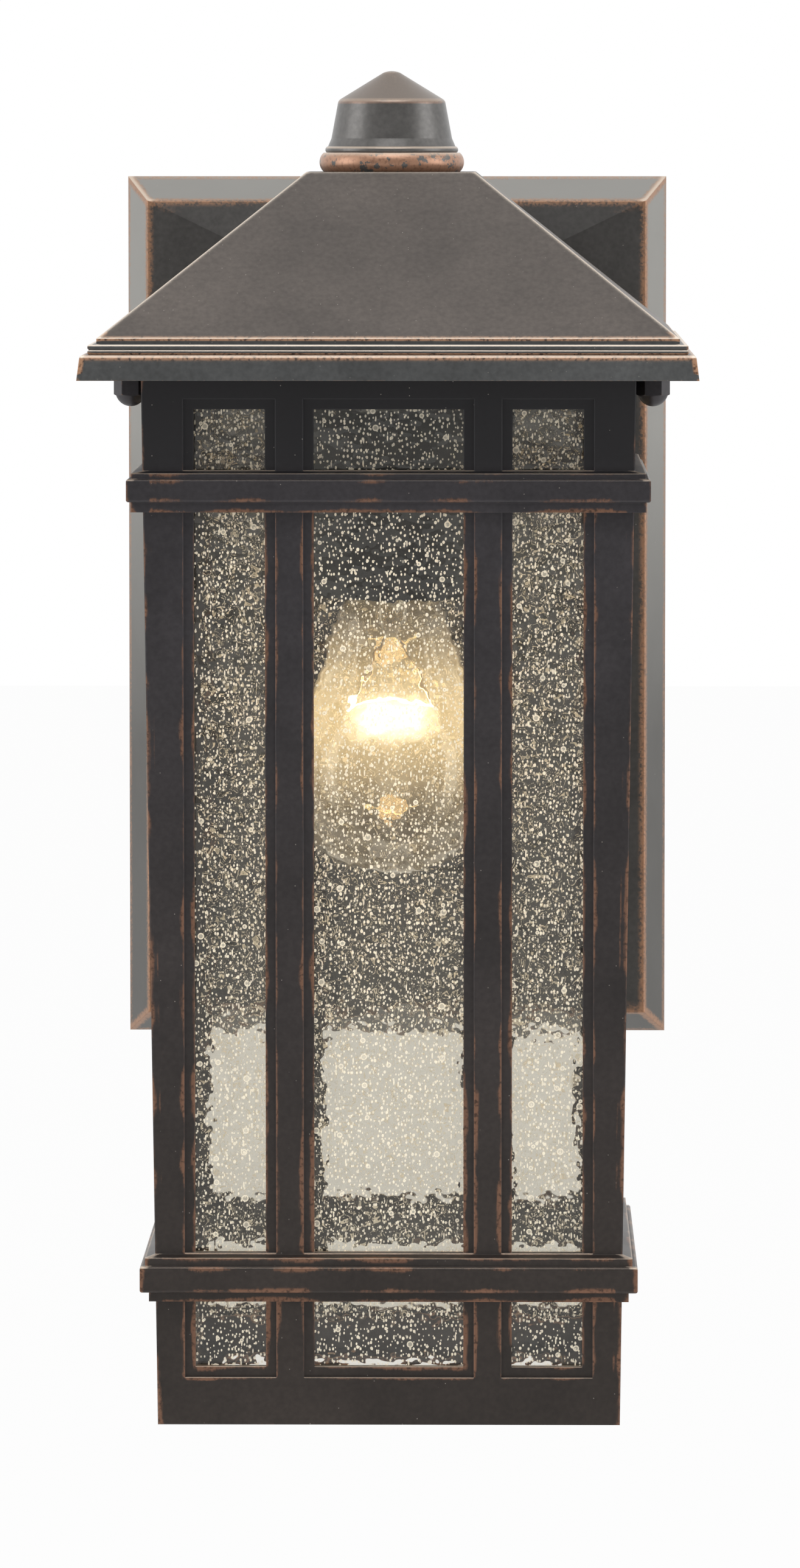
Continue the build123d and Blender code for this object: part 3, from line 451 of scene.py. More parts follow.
@dataclass(frozen=True)
class RoofBronze(OilRubbedBronze):
    """The bronze of the roof, which keeps its lacquer in the beads of the eave, where no cloth gets.

    Attributes:
        beads: The heights of the beads' lower and upper edge, in millimetres.
        fascia_foot: The height of the fascia's lower edge, in millimetres.
    """

    beads: tuple[float, float] = (89.6, 93.4)
    fascia_foot: float = 81.3

    def more_pressure(self, tree: Tree, place: Socket, height: Socket) -> Socket:
        """Presses along the foot of the slopes, and neither in the beads nor on the eave's underside."""
        low, high = self.beads
        foot = self.fascia_foot
        # Each border is a soft step from the first of its heights to the second.
        borders = ((low, low + 0.4), (high, high - 0.4), (foot + 2.5, foot + 1.5), (high + 3.5, high + 1.0))
        above, below, under, slope_foot = (
            put(tree, "MapRange", {"Value": height, "From Min": start * MM, "From Max": end * MM}, **SOFT)
            for start, end in borders
        )
        beads = put(tree, "Math", {0: above, 1: below}, operation="MULTIPLY")
        missed = put(tree, "Math", {0: beads, 1: under}, operation="MAXIMUM")
        harder = put(tree, "Math", {0: slope_foot, 1: 0.75}, operation="MULTIPLY")
        return put(tree, "Math", {0: missed, 1: UNTOUCHED, 2: harder}, operation="MULTIPLY_ADD").outputs[0]


@dataclass(frozen=True)
class FinialBronze(OilRubbedBronze):
    """The bronze of the finial: a ring rubbed right through, a dark drum and a thinly coated conical top.

    Attributes:
        ring_top: The height of the ring's upper edge, in millimetres.
        cone_foot: The height at which the conical top begins, in millimetres.
        thin_coat: The colour of the conical top.
    """

    ring_top: float = 0.0
    cone_foot: float = 0.0
    thin_coat: str = "776c63"

    def more_pressure(self, tree: Tree, place: Socket, height: Socket) -> Socket:
        """Misses the drum and the bead at its foot, and keeps the line at its top."""
        low, high = (self.cone_foot - 2) * MM, (self.cone_foot - 1) * MM
        return put(
            tree, "MapRange",
            {"Value": height, "From Min": low, "From Max": high, "To Min": UNTOUCHED, "To Max": 0.0},
        ).outputs[0]

    def coat(self, tree: Tree, place: Socket, height: Socket, lacquer: Socket) -> Socket:
        """Thins the coat on the conical top."""
        low, high = (self.cone_foot - 0.5) * MM, (self.cone_foot + 0.7) * MM
        thin = put(tree, "MapRange", {"Value": height, "From Min": low, "From Max": high}, **SOFT)
        made = put(
            tree, "Mix", {FACTOR: thin, FIRST: lacquer, SECOND: linear(self.thin_coat)}, **COLOURS,
        )
        return made.outputs[MIXED]

    def rubbing(self, tree: Tree, place: Socket, height: Socket, edge: Socket) -> Socket:
        """Rubs the ring right through, but for a few dark spots."""
        edges = super().rubbing(tree, place, height, edge)
        spots = put(
            tree, "TexNoise", {"Vector": place, "Scale": per_metre(4.2), "Detail": 4.0, "Roughness": 0.7},
        )
        low, high = (self.ring_top - 0.2) * MM, (self.ring_top + 0.2) * MM
        below = put(tree, "MapRange", {"Value": height, "From Min": high, "From Max": low}, **SOFT)
        clean = put(
            tree, "MapRange", {"Value": spots.outputs["Fac"], "From Min": 0.6, "From Max": 0.56}, **SOFT,
        )
        ring = put(tree, "Math", {0: below, 1: clean}, operation="MULTIPLY")
        return put(tree, "Math", {0: edges, 1: ring}, operation="MAXIMUM").outputs[0]


@dataclass(frozen=True)
class PanelBronze(OilRubbedBronze):
    """The bronze of the cage's panels, rubbed harder low down and on the bands that stand proud.

    The corners of the cage, the rail at its foot and what the eave shelters keep their lacquer.

    Attributes:
        axis_depth: How far the cage's axis stands from the wall, in millimetres.
        foot: The height of the cage's foot, in millimetres.
        foot_rail: The height of the plain rail there, up to the windows' ledges, in millimetres.
        foot_half: Half the cage's width there, in millimetres.
        draft: How much wider each half is for each millimetre up.
        shelter: The height above which the eave shelters the panels, in millimetres.
        eave_shade: The colour of the eave's painted shade on the lacquer there.
    """

    axis_depth: float = AXIS_DEPTH
    foot: float = -243.0
    foot_rail: float = 14.0
    foot_half: float = 71.7
    draft: float = 0.0135
    shelter: float = 54.0
    eave_shade: str = "232224"

    def under_eave(self, tree: Tree, height: Socket, most: float) -> Node:
        """How far the eave shelters a point: 0 low down, and most above the shelter's height."""
        low, high = (self.shelter - 4) * MM, (self.shelter + 4) * MM
        return put(
            tree, "MapRange", {"Value": height, "From Min": low, "From Max": high, "To Max": most}, **SOFT,
        )

    def coat(self, tree: Tree, place: Socket, height: Socket, lacquer: Socket) -> Socket:
        """Paints the eave's shade: the lacquer is darker above the shelter's height."""
        eave_shadow = self.under_eave(tree, height, most=0.85)
        made = put(
            tree, "Mix", {FACTOR: eave_shadow, FIRST: lacquer, SECOND: linear(self.eave_shade)}, **COLOURS,
        )
        return made.outputs[MIXED]

    def more_pressure(self, tree: Tree, place: Socket, height: Socket) -> Socket:
        """Presses harder low down and on what stands proud, and misses the corners and the foot."""
        centred = put(tree, "VectorMath", {0: place, 1: (0.0, self.axis_depth * MM, 0.0)}, operation="ADD")
        sides = put(tree, "VectorMath", {0: centred}, operation="ABSOLUTE")
        parts = put(tree, "SeparateXYZ", {0: sides})
        foot_half = (self.foot_half - self.draft * self.foot) * MM
        panel = put(tree, "Math", {0: height, 1: self.draft, 2: foot_half}, operation="MULTIPLY_ADD")
        furthest, nearest = (
            put(tree, "Math", {0: parts.outputs["X"], 1: parts.outputs["Y"]}, operation=choice)
            for choice in ("MAXIMUM", "MINIMUM")
        )
        beyond = put(tree, "Math", {0: furthest, 1: panel}, operation="SUBTRACT")
        proud = put(tree, "MapRange", {"Value": beyond, "From Min": 1 * MM, "From Max": 3 * MM}, **SOFT)
        inward = put(tree, "Math", {0: panel, 1: nearest}, operation="SUBTRACT")
        corner = put(tree, "MapRange", {"Value": inward, "From Min": 2.5 * MM, "From Max": 1.5 * MM}, **SOFT)
        rail = (self.foot + self.foot_rail) * MM
        foot = put(tree, "MapRange", {"Value": height, "From Min": rail, "From Max": rail - 1 * MM}, **SOFT)
        eave = self.under_eave(tree, height, most=1.0)
        missed = put(tree, "Math", {0: corner, 1: foot}, operation="MAXIMUM")
        missed = put(tree, "Math", {0: missed, 1: eave}, operation="MAXIMUM")
        down = put(
            tree, "MapRange",
            {"Value": height, "From Min": 60 * MM, "From Max": -200 * MM, "To Min": -0.16, "To Max": 0.1},
        )
        harder = put(tree, "Math", {0: proud, 1: 0.14, 2: down}, operation="MULTIPLY_ADD")
        return put(tree, "Math", {0: missed, 1: -1.0, 2: harder}, operation="MULTIPLY_ADD").outputs[0]


@dataclass(frozen=True)
class SeedSize:
    """One size of seed in the glass.

    Attributes:
        spacing: The distance between seeds, in millimetres.
        smallest: The smallest radius, in millimetres.
        largest: The largest radius, in millimetres.
        share: How many of the places hold a seed, from 0 to 1.
        stretch: How many times as tall as wide a seed is.
        hollow: How much clearer a seed's middle is than its rim, from 0 to 1.
    """

    spacing: float
    smallest: float
    largest: float
    share: float
    stretch: float = 1.0
    hollow: float = 0.0


@dataclass(frozen=True)
class SeededGlass:
    """Clear plate glass full of seeds, the air bubbles that are left in on purpose.

    The face is wavy, so what is behind it breaks up at its borders. Each seed scatters the light, so over the
    dark inside it is a bright cream dot, and the largest are rings with a clearer middle.

    Attributes:
        name: The material's name.
        tint: The glass's own colour over its thickness.
        seed: The seeds' colour.
        wave: The distance between the waves in the surface, in millimetres.
        seeds: The sizes of seed.
        eave: The heights between which the eave's shade on the seeds ends, in millimetres.
        painted_glow: A painted glow of the seeds' own below the eave's shade, for the light that they gather.
    """

    name: str
    tint: str = "e2dfd7"
    seed: str = "f6ecd6"
    wave: float = 9.0
    seeds: tuple[SeedSize, ...] = (
        SeedSize(1.2, 0.14, 0.36, 0.8, stretch=1.5),
        SeedSize(2.4, 0.22, 0.5, 0.45, stretch=1.2),
        SeedSize(7.5, 0.6, 1.1, 0.35, hollow=0.5),
        SeedSize(2.0, 0.14, 0.26, 0.45, stretch=4.0),
    )
    eave: tuple[float, float] = (52.0, 28.0)
    painted_glow: float = 0.34

    def scatter(self, tree: Tree, face: Socket, size: SeedSize) -> Socket:
        """Scatters one size of seed over a pane.

        Args:
            tree: The node tree.
            face: The point on the pane, along it and up it.
            size: The seeds' size.

        Returns:
            1 in a bright seed, and less in a faint one or in a hollow middle.
        """
        pulled = put(tree, "Mapping", {"Vector": face, "Scale": (1.0, 1.0 / size.stretch, 1.0)})
        cells = put(
            tree, "TexVoronoi", {"Vector": pulled, "Scale": per_metre(size.spacing)},
            voronoi_dimensions="2D",
        )
        chance, girth, brightness = put(tree, "SeparateColor", {0: cells.outputs["Color"]}).outputs
        smallest, largest = size.smallest / size.spacing, size.largest / size.spacing
        radius = put(tree, "MapRange", {"Value": girth, "To Min": smallest, "To Max": largest})
        depth = put(tree, "Math", {0: radius, 1: cells.outputs["Distance"]}, operation="SUBTRACT")
        rim = 0.1 / size.spacing
        seed = put(tree, "MapRange", {"Value": depth, "From Min": -0.3 * rim, "From Max": 0.5 * rim}, **SOFT)
        held = put(
            tree, "MapRange",
            {"Value": chance, "From Min": size.share + 0.01, "From Max": size.share - 0.01}, **SOFT,
        )
        bright = put(tree, "MapRange", {"Value": brightness, "To Min": 0.7, "To Max": 1.0})
        shown = put(tree, "Math", {0: seed, 1: held}, operation="MULTIPLY")
        made = put(tree, "Math", {0: shown, 1: bright}, operation="MULTIPLY")
        if not size.hollow:
            return made.outputs[0]
        middle = put(
            tree, "MapRange",
            {"Value": depth, "From Min": 3 * rim, "From Max": 5 * rim,
             "To Min": 1.0, "To Max": 1.0 - size.hollow},
            **SOFT,
        )
        return put(tree, "Math", {0: made, 1: middle}, operation="MULTIPLY").outputs[0]

    def make(self) -> Material:
        """Builds the finish.

        Returns:
            The material.
        """
        material, tree = new_material(self.name)
        place = put(tree, "TexCoord").outputs["Object"]
        parts = put(tree, "SeparateXYZ", {0: place})
        along = put(tree, "Math", {0: parts.outputs["X"], 1: parts.outputs["Y"]}, operation="ADD")
        face = put(tree, "CombineXYZ", {"X": along, "Y": parts.outputs["Z"]}).outputs[0]
        seeds, *others = (self.scatter(tree, face, size) for size in self.seeds)
        for more in others:
            seeds = put(tree, "Math", {0: seeds, 1: more}, operation="MAXIMUM")

        waves = put(tree, "TexNoise", {"Vector": place, "Scale": per_metre(self.wave), "Detail": 2.0})
        wavy = put(tree, "Bump", {"Strength": 1.0, "Distance": 0.4 * MM, "Height": waves.outputs["Fac"]})
        domed = put(tree, "Bump", {"Strength": 1.0, "Distance": 0.06 * MM, "Height": seeds, "Normal": wavy})
        sheet = put(
            tree, "BsdfPrincipled",
            {"Base Color": linear(self.tint), "Roughness": 0.02, "IOR": 1.52, "Transmission Weight": 1.0,
             "Normal": wavy},
        )
        # A lamp's light goes straight through, or the inside would be black.
        straight = put(tree, "BsdfTransparent", {"Color": linear(self.tint)})
        path = put(tree, "LightPath")
        clear = put(
            tree, "MixShader", {0: path.outputs["Is Shadow Ray"], 1: sheet, 2: straight},
        )
        shaded, open_below = (height * MM for height in self.eave)
        # Painted light: below the eave's shade the seeds glow by themselves.
        seed_glow = put(
            tree, "MapRange",
            {"Value": parts.outputs["Z"], "From Min": shaded, "From Max": open_below, "To Max": self.painted_glow},
            **SOFT,
        )
        rim = put(
            tree, "BsdfPrincipled",
            {"Base Color": linear(self.seed), "Roughness": 0.3, "IOR": 1.52, "Normal": domed,
             "Emission Color": linear(self.seed), "Emission Strength": seed_glow},
        )
        through = put(tree, "BsdfTranslucent", {"Color": linear(self.seed)})
        bubble = put(tree, "MixShader", {0: 0.22, 1: rim, 2: through})
        # The seeds lie near the face that the light enters by, and from behind they don't show a second time.
        behind = put(tree, "NewGeometry").outputs["Backfacing"]
        near = put(tree, "MapRange", {"Value": behind, "To Min": 0.95, "To Max": 0.0})
        strength = put(tree, "Math", {0: seeds, 1: near}, operation="MULTIPLY")
        glass = put(tree, "MixShader", {0: strength, 1: clear, 2: bubble})
        put(tree, "OutputMaterial", {"Surface": glass})
        return material


@dataclass(frozen=True)
class BlownGlass:
    """A bulb's clear blown glass, lit by the filament inside it.

    Painted light: the glass glows by itself, faintly hazy far from the filament, golden near it and bleached
    white right in front of it, for the light that runs round in the glass.

    Attributes:
        name: The material's name.
        glare_height: The height of the glare in front of the filament, in millimetres.
        far_glow: The colour of the painted glow far from the filament.
        near_glow: The colour of the painted glow near the filament.
        white: The colour of the painted glow right in front of the filament.
        filament_half: Half the filament's length, in millimetres.
        brightness: How much of this the glass shows, from 0 to 1.
    """

    name: str
    glare_height: float
    far_glow: str = "b8a07c"
    near_glow: str = "f5d7a0"
    white: str = "fff4da"
    filament_half: float = 12.5
    brightness: float = 1.0

    def make(self) -> Material:
        """Builds the finish.

        Returns:
            The material.
        """
        material, tree = new_material(self.name)
        place = put(tree, "TexCoord").outputs["Object"]
        parts = put(tree, "SeparateXYZ", {0: place})
        ripple = put(tree, "TexNoise", {"Vector": place, "Scale": per_metre(14), "Detail": 1.0})
        drawn = put(tree, "Bump", {"Strength": 0.4, "Distance": 0.2 * MM, "Height": ripple.outputs["Fac"]})
        away = put(tree, "Math", {0: parts.outputs["Z"], 1: self.glare_height * MM}, operation="SUBTRACT")
        away = put(tree, "Math", {0: away}, operation="ABSOLUTE")
        aside = put(tree, "Math", {0: parts.outputs["X"]}, operation="ABSOLUTE")
        golden = put(tree, "MapRange", {"Value": away, "From Min": 36 * MM, "From Max": 2 * MM}, **SOFT)
        level = put(tree, "MapRange", {"Value": away, "From Min": 8 * MM, "From Max": 0.5 * MM}, **SOFT)
        inner, outer = (self.filament_half - 6) * MM, (self.filament_half + 4) * MM
        within = put(tree, "MapRange", {"Value": aside, "From Min": outer, "From Max": inner}, **SOFT)
        bleached = put(tree, "Math", {0: level, 1: within}, operation="MULTIPLY")
        warm = put(
            tree, "Mix", {FACTOR: golden, FIRST: linear(self.far_glow), SECOND: linear(self.near_glow)}, **COLOURS,
        )
        shone = put(
            tree, "Mix", {FACTOR: bleached, FIRST: warm.outputs[MIXED], SECOND: linear(self.white)},
            **COLOURS,
        )
        soft = put(tree, "MapRange", {"Value": golden, "To Min": 0.2, "To Max": 1.05})
        hard = put(tree, "Math", {0: bleached, 1: 2.4, 2: soft}, operation="MULTIPLY_ADD")
        # Painted light: each wall of the glass glows once, on its outer side.
        behind = put(tree, "NewGeometry").outputs["Backfacing"]
        once = put(tree, "MapRange", {"Value": behind, "To Min": 0.5 * self.brightness, "To Max": 0.0})
        strength = put(tree, "Math", {0: hard, 1: once}, operation="MULTIPLY")
        sheet = put(
            tree, "BsdfPrincipled",
            {"Base Color": linear("fbfaf6"), "Roughness": 0.0, "IOR": 1.5, "Transmission Weight": 1.0,
             "Normal": drawn, "Emission Color": shone.outputs[MIXED],
             "Emission Strength": strength},
        )
        straight = put(tree, "BsdfTransparent", {"Color": linear("fbfaf6")})
        path = put(tree, "LightPath")
        clear = put(
            tree, "MixShader", {0: path.outputs["Is Shadow Ray"], 1: sheet, 2: straight},
        )
        put(tree, "OutputMaterial", {"Surface": clear})
        return material


@dataclass(frozen=True)
class TurnedMetal:
    """Small bare or plated metal: screws, nuts, washers, sheet brass and rolled threads.

    Plating gives it an even, slightly cloudy shine, and the tool leaves fine rings or lines in it.

    Attributes:
        name: The material's name.
        colour: The metal's colour.
        roughness: Its roughness.
        thread: The thread that it carries along its height.
        along_y: True if the piece was turned about an axis along Y, and not Z.
    """

    name: str
    colour: str
    roughness: float = 0.32
    thread: Thread = Thread.PLAIN
    along_y: bool = False

    def make(self) -> Material:
        """Builds the finish.

        Returns:
            The material.
        """
        material, tree = new_material(self.name)
        place = put(tree, "TexCoord").outputs["Object"]
        cloud = put(tree, "TexNoise", {"Vector": place, "Scale": per_metre(2.2), "Detail": 3.0})
        shade = put(
            tree, "Mix",
            {FACTOR: cloud.outputs["Fac"], FIRST: (0.8, 0.8, 0.8, 1), SECOND: (1.15, 1.15, 1.15, 1)},
            **COLOURS,
        )
        plated = put(
            tree, "Mix", {FACTOR: 1.0, FIRST: linear(self.colour), SECOND: shade.outputs[MIXED]},
            **COLOURS, blend_type="MULTIPLY",
        )
        rough = put(
            tree, "MapRange",
            {"Value": cloud.outputs["Fac"], "To Min": self.roughness - 0.1, "To Max": self.roughness + 0.14},
        )
        turned = (1.0, 0.05, 1.0) if self.along_y else (1.0, 1.0, 0.05)
        lines = put(tree, "Mapping", {"Vector": place, "Scale": turned})
        marks = put(tree, "TexNoise", {"Vector": lines, "Scale": per_metre(0.35), "Detail": 2.0})
        rounded = put(tree, "Bevel", {"Radius": 0.2 * MM}, samples=4)
        surface = put(
            tree, "Bump",
            {"Strength": 0.4, "Distance": 0.01 * MM, "Height": marks.outputs["Fac"], "Normal": rounded},
        ).outputs[0]
        if self.thread is not Thread.PLAIN:
            # One wave for each turn.
            turns = put(
                tree, "TexWave", {"Vector": place, "Scale": WAVE_BAND / (self.thread.value * MM)},
                wave_type="BANDS", bands_direction="Y" if self.along_y else "Z",
            )
            surface = put(
                tree, "Bump",
                {"Strength": 0.8, "Distance": 0.18 * self.thread.value * MM, "Height": turns.outputs["Fac"],
                 "Normal": surface},
            ).outputs[0]
        metal = put(
            tree, "BsdfPrincipled",
            {"Base Color": plated.outputs[MIXED], "Metallic": 1.0, "Roughness": rough, "Normal": surface},
        )
        put(tree, "OutputMaterial", {"Surface": metal})
        return material


@dataclass(frozen=True)
class GlazedPorcelain:
    """White porcelain under a clear glaze: bright, smooth and very slightly uneven.

    Attributes:
        name: The material's name.
        colour: The body's colour through the glaze.
    """

    name: str
    colour: str = "ece8de"

    def make(self) -> Material:
        """Builds the finish.

        Returns:
            The material.
        """
        material, tree = new_material(self.name)
        place = put(tree, "TexCoord").outputs["Object"]
        flow = put(tree, "TexNoise", {"Vector": place, "Scale": per_metre(9), "Detail": 2.0})
        tone = put(
            tree, "Mix", {FACTOR: flow.outputs["Fac"], FIRST: linear("ddd7c9"), SECOND: linear(self.colour)},
            **COLOURS,
        )
        uneven = put(tree, "Bump", {"Strength": 0.3, "Distance": 0.08 * MM, "Height": flow.outputs["Fac"]})
        fired = put(
            tree, "BsdfPrincipled",
            {"Base Color": tone.outputs[MIXED], "Roughness": 0.16, "IOR": 1.52, "Normal": uneven,
             "Coat Weight": 0.6, "Coat Roughness": 0.05},
        )
        put(tree, "OutputMaterial", {"Surface": fired})
        return material


@dataclass(frozen=True)
class HotTungsten:
    """The filament at working heat, so bright that it bleaches what is round it. Its supports stay dull.

    Attributes:
        name: The material's name.
        height: The coil's height, in millimetres.
        glow: The light's colour.
        strength: The light's strength.
        pitch: The distance between the coil's turns, in millimetres.
    """

    name: str
    height: float
    glow: str = "ffdf9e"
    strength: float = 110.0
    pitch: float = 0.6

    def make(self) -> Material:
        """Builds the finish.

        Returns:
            The material.
        """
        material, tree = new_material(self.name)
        place = put(tree, "TexCoord").outputs["Object"]
        coils = put(
            tree, "TexWave", {"Vector": place, "Scale": WAVE_BAND / (self.pitch * MM)},
            wave_type="BANDS", bands_direction="X",
        )
        heat = put(
            tree, "MapRange",
            {"Value": coils.outputs["Fac"], "To Min": 0.6 * self.strength, "To Max": self.strength},
        )
        parts = put(tree, "SeparateXYZ", {0: place})
        away = put(tree, "Math", {0: parts.outputs["Z"], 1: self.height * MM}, operation="SUBTRACT")
        away = put(tree, "Math", {0: away}, operation="ABSOLUTE")
        coil = put(tree, "MapRange", {"Value": away, "From Min": 3.5 * MM, "From Max": 2.5 * MM}, **SOFT)
        shone = put(tree, "Math", {0: heat, 1: coil}, operation="MULTIPLY")
        hot = put(
            tree, "BsdfPrincipled",
            {"Base Color": linear("8a8078"), "Metallic": 1.0, "Roughness": 0.4,
             "Emission Color": linear(self.glow), "Emission Strength": shone},
        )
        put(tree, "OutputMaterial", {"Surface": hot})
        return material


@dataclass(frozen=True)
class FoamRubber:
    """Closed-cell foam rubber: matt, dark and finely pitted.

    Attributes:
        name: The material's name.
        colour: The rubber's colour.
        cell: The size of a cell, in millimetres.
    """

    name: str
    colour: str = "2a2a29"
    cell: float = 0.8

    def make(self) -> Material:
        """Builds the finish.

        Returns:
            The material.
        """
        material, tree = new_material(self.name)
        place = put(tree, "TexCoord").outputs["Object"]
        cells = put(tree, "TexVoronoi", {"Vector": place, "Scale": per_metre(self.cell)})
        tone = put(
            tree, "Mix",
            {FACTOR: cells.outputs["Distance"], FIRST: linear("1c1c1b"), SECOND: linear(self.colour)},
            **COLOURS,
        )
        pits = put(
            tree, "Bump", {"Strength": 0.6, "Distance": 0.15 * MM, "Height": cells.outputs["Distance"]},
        )
        foam = put(
            tree, "BsdfPrincipled",
            {"Base Color": tone.outputs[MIXED], "Roughness": 0.85, "IOR": 1.5, "Normal": pits},
        )
        put(tree, "OutputMaterial", {"Surface": foam})
        return material


Finish = OilRubbedBronze | SeededGlass | BlownGlass | TurnedMetal | GlazedPorcelain | HotTungsten | FoamRubber


def dress(frame: dict[str, Any], finish: Finish, *nodes: str) -> None:
    """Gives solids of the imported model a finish.

    Args:
        finish: The finish that they share.
        nodes: The solids' names.
    """
    material = finish.make()
    for name in nodes:
        for slot in frame["nodes"][name].material_slots:
            slot.material = material
        log.info("%s wears %s", name, finish.name)


@dataclass
class WallMounting:
    """What holds the light to the wall: the backplate, its gasket and the strap on the junction box."""

    def finish(self, frame: dict[str, Any]) -> None:
        """Dresses the pieces on the wall."""
        dress(
            frame,
            PlateBronze(
                "oil_rubbed_bronze_plate", ground="474543", ground_low="454341", reach=2.8, arris_share=0.3,
                pressure=0.8, unevenness=0.05, copper="a47c60", pores="8f6b53", highlight_unrubbed=0.9, roughness=0.4,
                specks=0.2,
            ),
            "backplate",
        )
        dress(frame, OilRubbedBronze("oil_rubbed_bronze_arm", pressure=0.0), "arm")
        dress(frame, FoamRubber("foam_rubber"), "wall_gasket")
        dress(
            frame, TurnedMetal("zinc_plated_steel_along_y", "b9b9b4", along_y=True),
            "mounting_strap", "strap_lock_nuts", "arm_plate_screws", "arm_roof_screws",
        )
        dress(
            frame, TurnedMetal("zinc_plated_stud", "b4b4ae", thread=Thread.MACHINE_SCREW, along_y=True),
            "strap_studs",
        )
        dress(frame, TurnedMetal("green_zinc_screw", "2f7a4a", along_y=True), "ground_screw")
        dress(
            frame, OilRubbedBronze("bronze_plated_cap_nut", pressure=0.5, metallic=0.8), "backplate_cap_nuts",
        )


@dataclass
class HippedRoof:
    """The roof, what stands on it and what hangs from it.

    Attributes:
        top: The height of the roof's flat top, on which the finial stands, in millimetres.
        ring_height: The height of the finial's base ring, in millimetres.
        drum_height: The height of the finial up to its conical top, in millimetres.
    """

    top: float = 144.4
    ring_height: float = 6.0
    drum_height: float = 22.4

    def finish(self, frame: dict[str, Any]) -> None:
        """Dresses the roof and the finial."""
        dress(
            frame,
            RoofBronze(
                "oil_rubbed_bronze_roof", ground="59524d", ground_low="545555", tone_heights=(95.0, 93.0),
                reach=1.8, arris_share=0.17, pressure=0.36, unevenness=0.1, stroke=30.0, copper="bc9172",
                highlight_colour="f0e2d2", highlight_unrubbed=0.95, roughness=0.46, specks=1.0,
            ),
            "roof",
        )
        dress(
            frame,
            FinialBronze(
                "oil_rubbed_bronze_finial", ground="5f5d5b", ground_low="5f5d5b", reach=1.5, arris_share=0.14,
                pressure=0.7, unevenness=0.3, stroke=12.0, copper="b0866c", pores="96705a", highlight_unrubbed=0.9,
                roughness=0.34, specks=0.0, brushing=Brushing.LEVEL, ring_top=self.top + self.ring_height,
                cone_foot=self.top + self.drum_height,
            ),
            "finial",
        )
        dress(frame, TurnedMetal("zinc_plated_nut", "b4b4ae"), "nipple_washers", "nipple_lock_nuts")
        dress(frame, TurnedMetal("zinc_plated_pipe", "b4b4ae", thread=Thread.LAMP_PIPE), "centre_nipple")
        dress(frame, TurnedMetal("blackened_stud", "3a3836", thread=Thread.MACHINE_SCREW), "cage_studs")
        dress(
            frame, OilRubbedBronze("bronze_plated_acorn_nut", reach=0.8, pressure=0.2),
            "left_acorn_nut", "right_acorn_nut",
        )


@dataclass
class GlazedCage:
    """The four cast panels and their panes, with the frames that join them at the foot and under the roof."""

    sides: tuple[str, ...] = ("front", "right", "back", "left")

    def finish(self, frame: dict[str, Any]) -> None:
        """Dresses the panels, the panes and the frames."""
        dress(
            frame,
            PanelBronze(
                "oil_rubbed_bronze_panel", ground_low="352e2a", copper="805d49", pores="4b362b", reach=1.8,
                pressure=0.32, unevenness=0.5, stroke=16.0, highlight_unrubbed=0.7, brushing=Brushing.UPRIGHT, specks=0.35,
            ),
            *(f"{side}_panel" for side in self.sides),
        )
        dress(frame, SeededGlass("seeded_glass"), *(f"{side}_glass" for side in self.sides))
        dress(frame, OilRubbedBronze("oil_rubbed_bronze_frame"), "bottom_frame", "top_frame")
        dress(
            frame, TurnedMetal("black_oxide_screw", "4a4846", roughness=0.4),
            "bottom_frame_screws", "top_frame_screws",
        )


@dataclass
class BulbAndHolder:
    """The lit bulb, the porcelain holder that it screws into and the cup round that.

    Attributes:
        axis_depth: How far the bulb's axis stands from the wall, in millimetres.
        filament_height: The filament's height, in millimetres.
        glare_drop: How far below the filament the envelope's glare lies, in millimetres.
        power: The bulb's light, in watts.
    """

    axis_depth: float = AXIS_DEPTH
    filament_height: float = -25.0
    glare_drop: float = 3.0
    power: float = 0.14

    def finish(self, frame: dict[str, Any]) -> None:
        """Dresses the bulb and its holder, and lights the bulb."""
        # The cup's wall is thinner than the cloth's usual reach, and nobody rubs it.
        dress(
            frame,
            OilRubbedBronze(
                "bronze_painted_cup", ground="1a1918", ground_low="1a1918", reach=0.3, pressure=-1.0,
            ),
            "socket_cup",
        )
        dress(frame, GlazedPorcelain("glazed_porcelain"), "lampholder")
        dress(frame, TurnedMetal("rolled_brass", "c9a25a", thread=Thread.BULB_CAP), "screw_shell")
        dress(frame, TurnedMetal("pressed_brass", "c9a25a"), "centre_contact")
        dress(
            frame, TurnedMetal("rolled_aluminium_cap", "cfcfcd", roughness=0.3, thread=Thread.BULB_CAP),
            "bulb_base",
        )
        # The photograph's bright band lies below the coil as it is modelled, so the glare is set there.
        glare_height = self.filament_height - self.glare_drop
        dress(frame, BlownGlass("blown_glass", glare_height), "bulb_envelope")
        dress(frame, BlownGlass("pressed_glass", self.filament_height, brightness=0.2), "bulb_stem")
        dress(frame, HotTungsten("hot_tungsten", height=self.filament_height), "bulb_filament")
        glow = bpy.data.lights.new("filament_glow", "POINT")
        glow.color = linear("ffd28e")[:3]
        glow.energy = self.power
        glow.shadow_soft_size = 7 * MM
        lamp = bpy.data.objects.new("filament_glow", glow)
        lamp.location = (0.0, -self.axis_depth * MM, self.filament_height * MM)
        # The ball that stands for the filament's light glints in the glass, but isn't seen through it.
        lamp.visible_transmission = lamp.visible_camera = False
        bpy.context.scene.collection.objects.link(lamp)
        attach(lamp, "bulb")


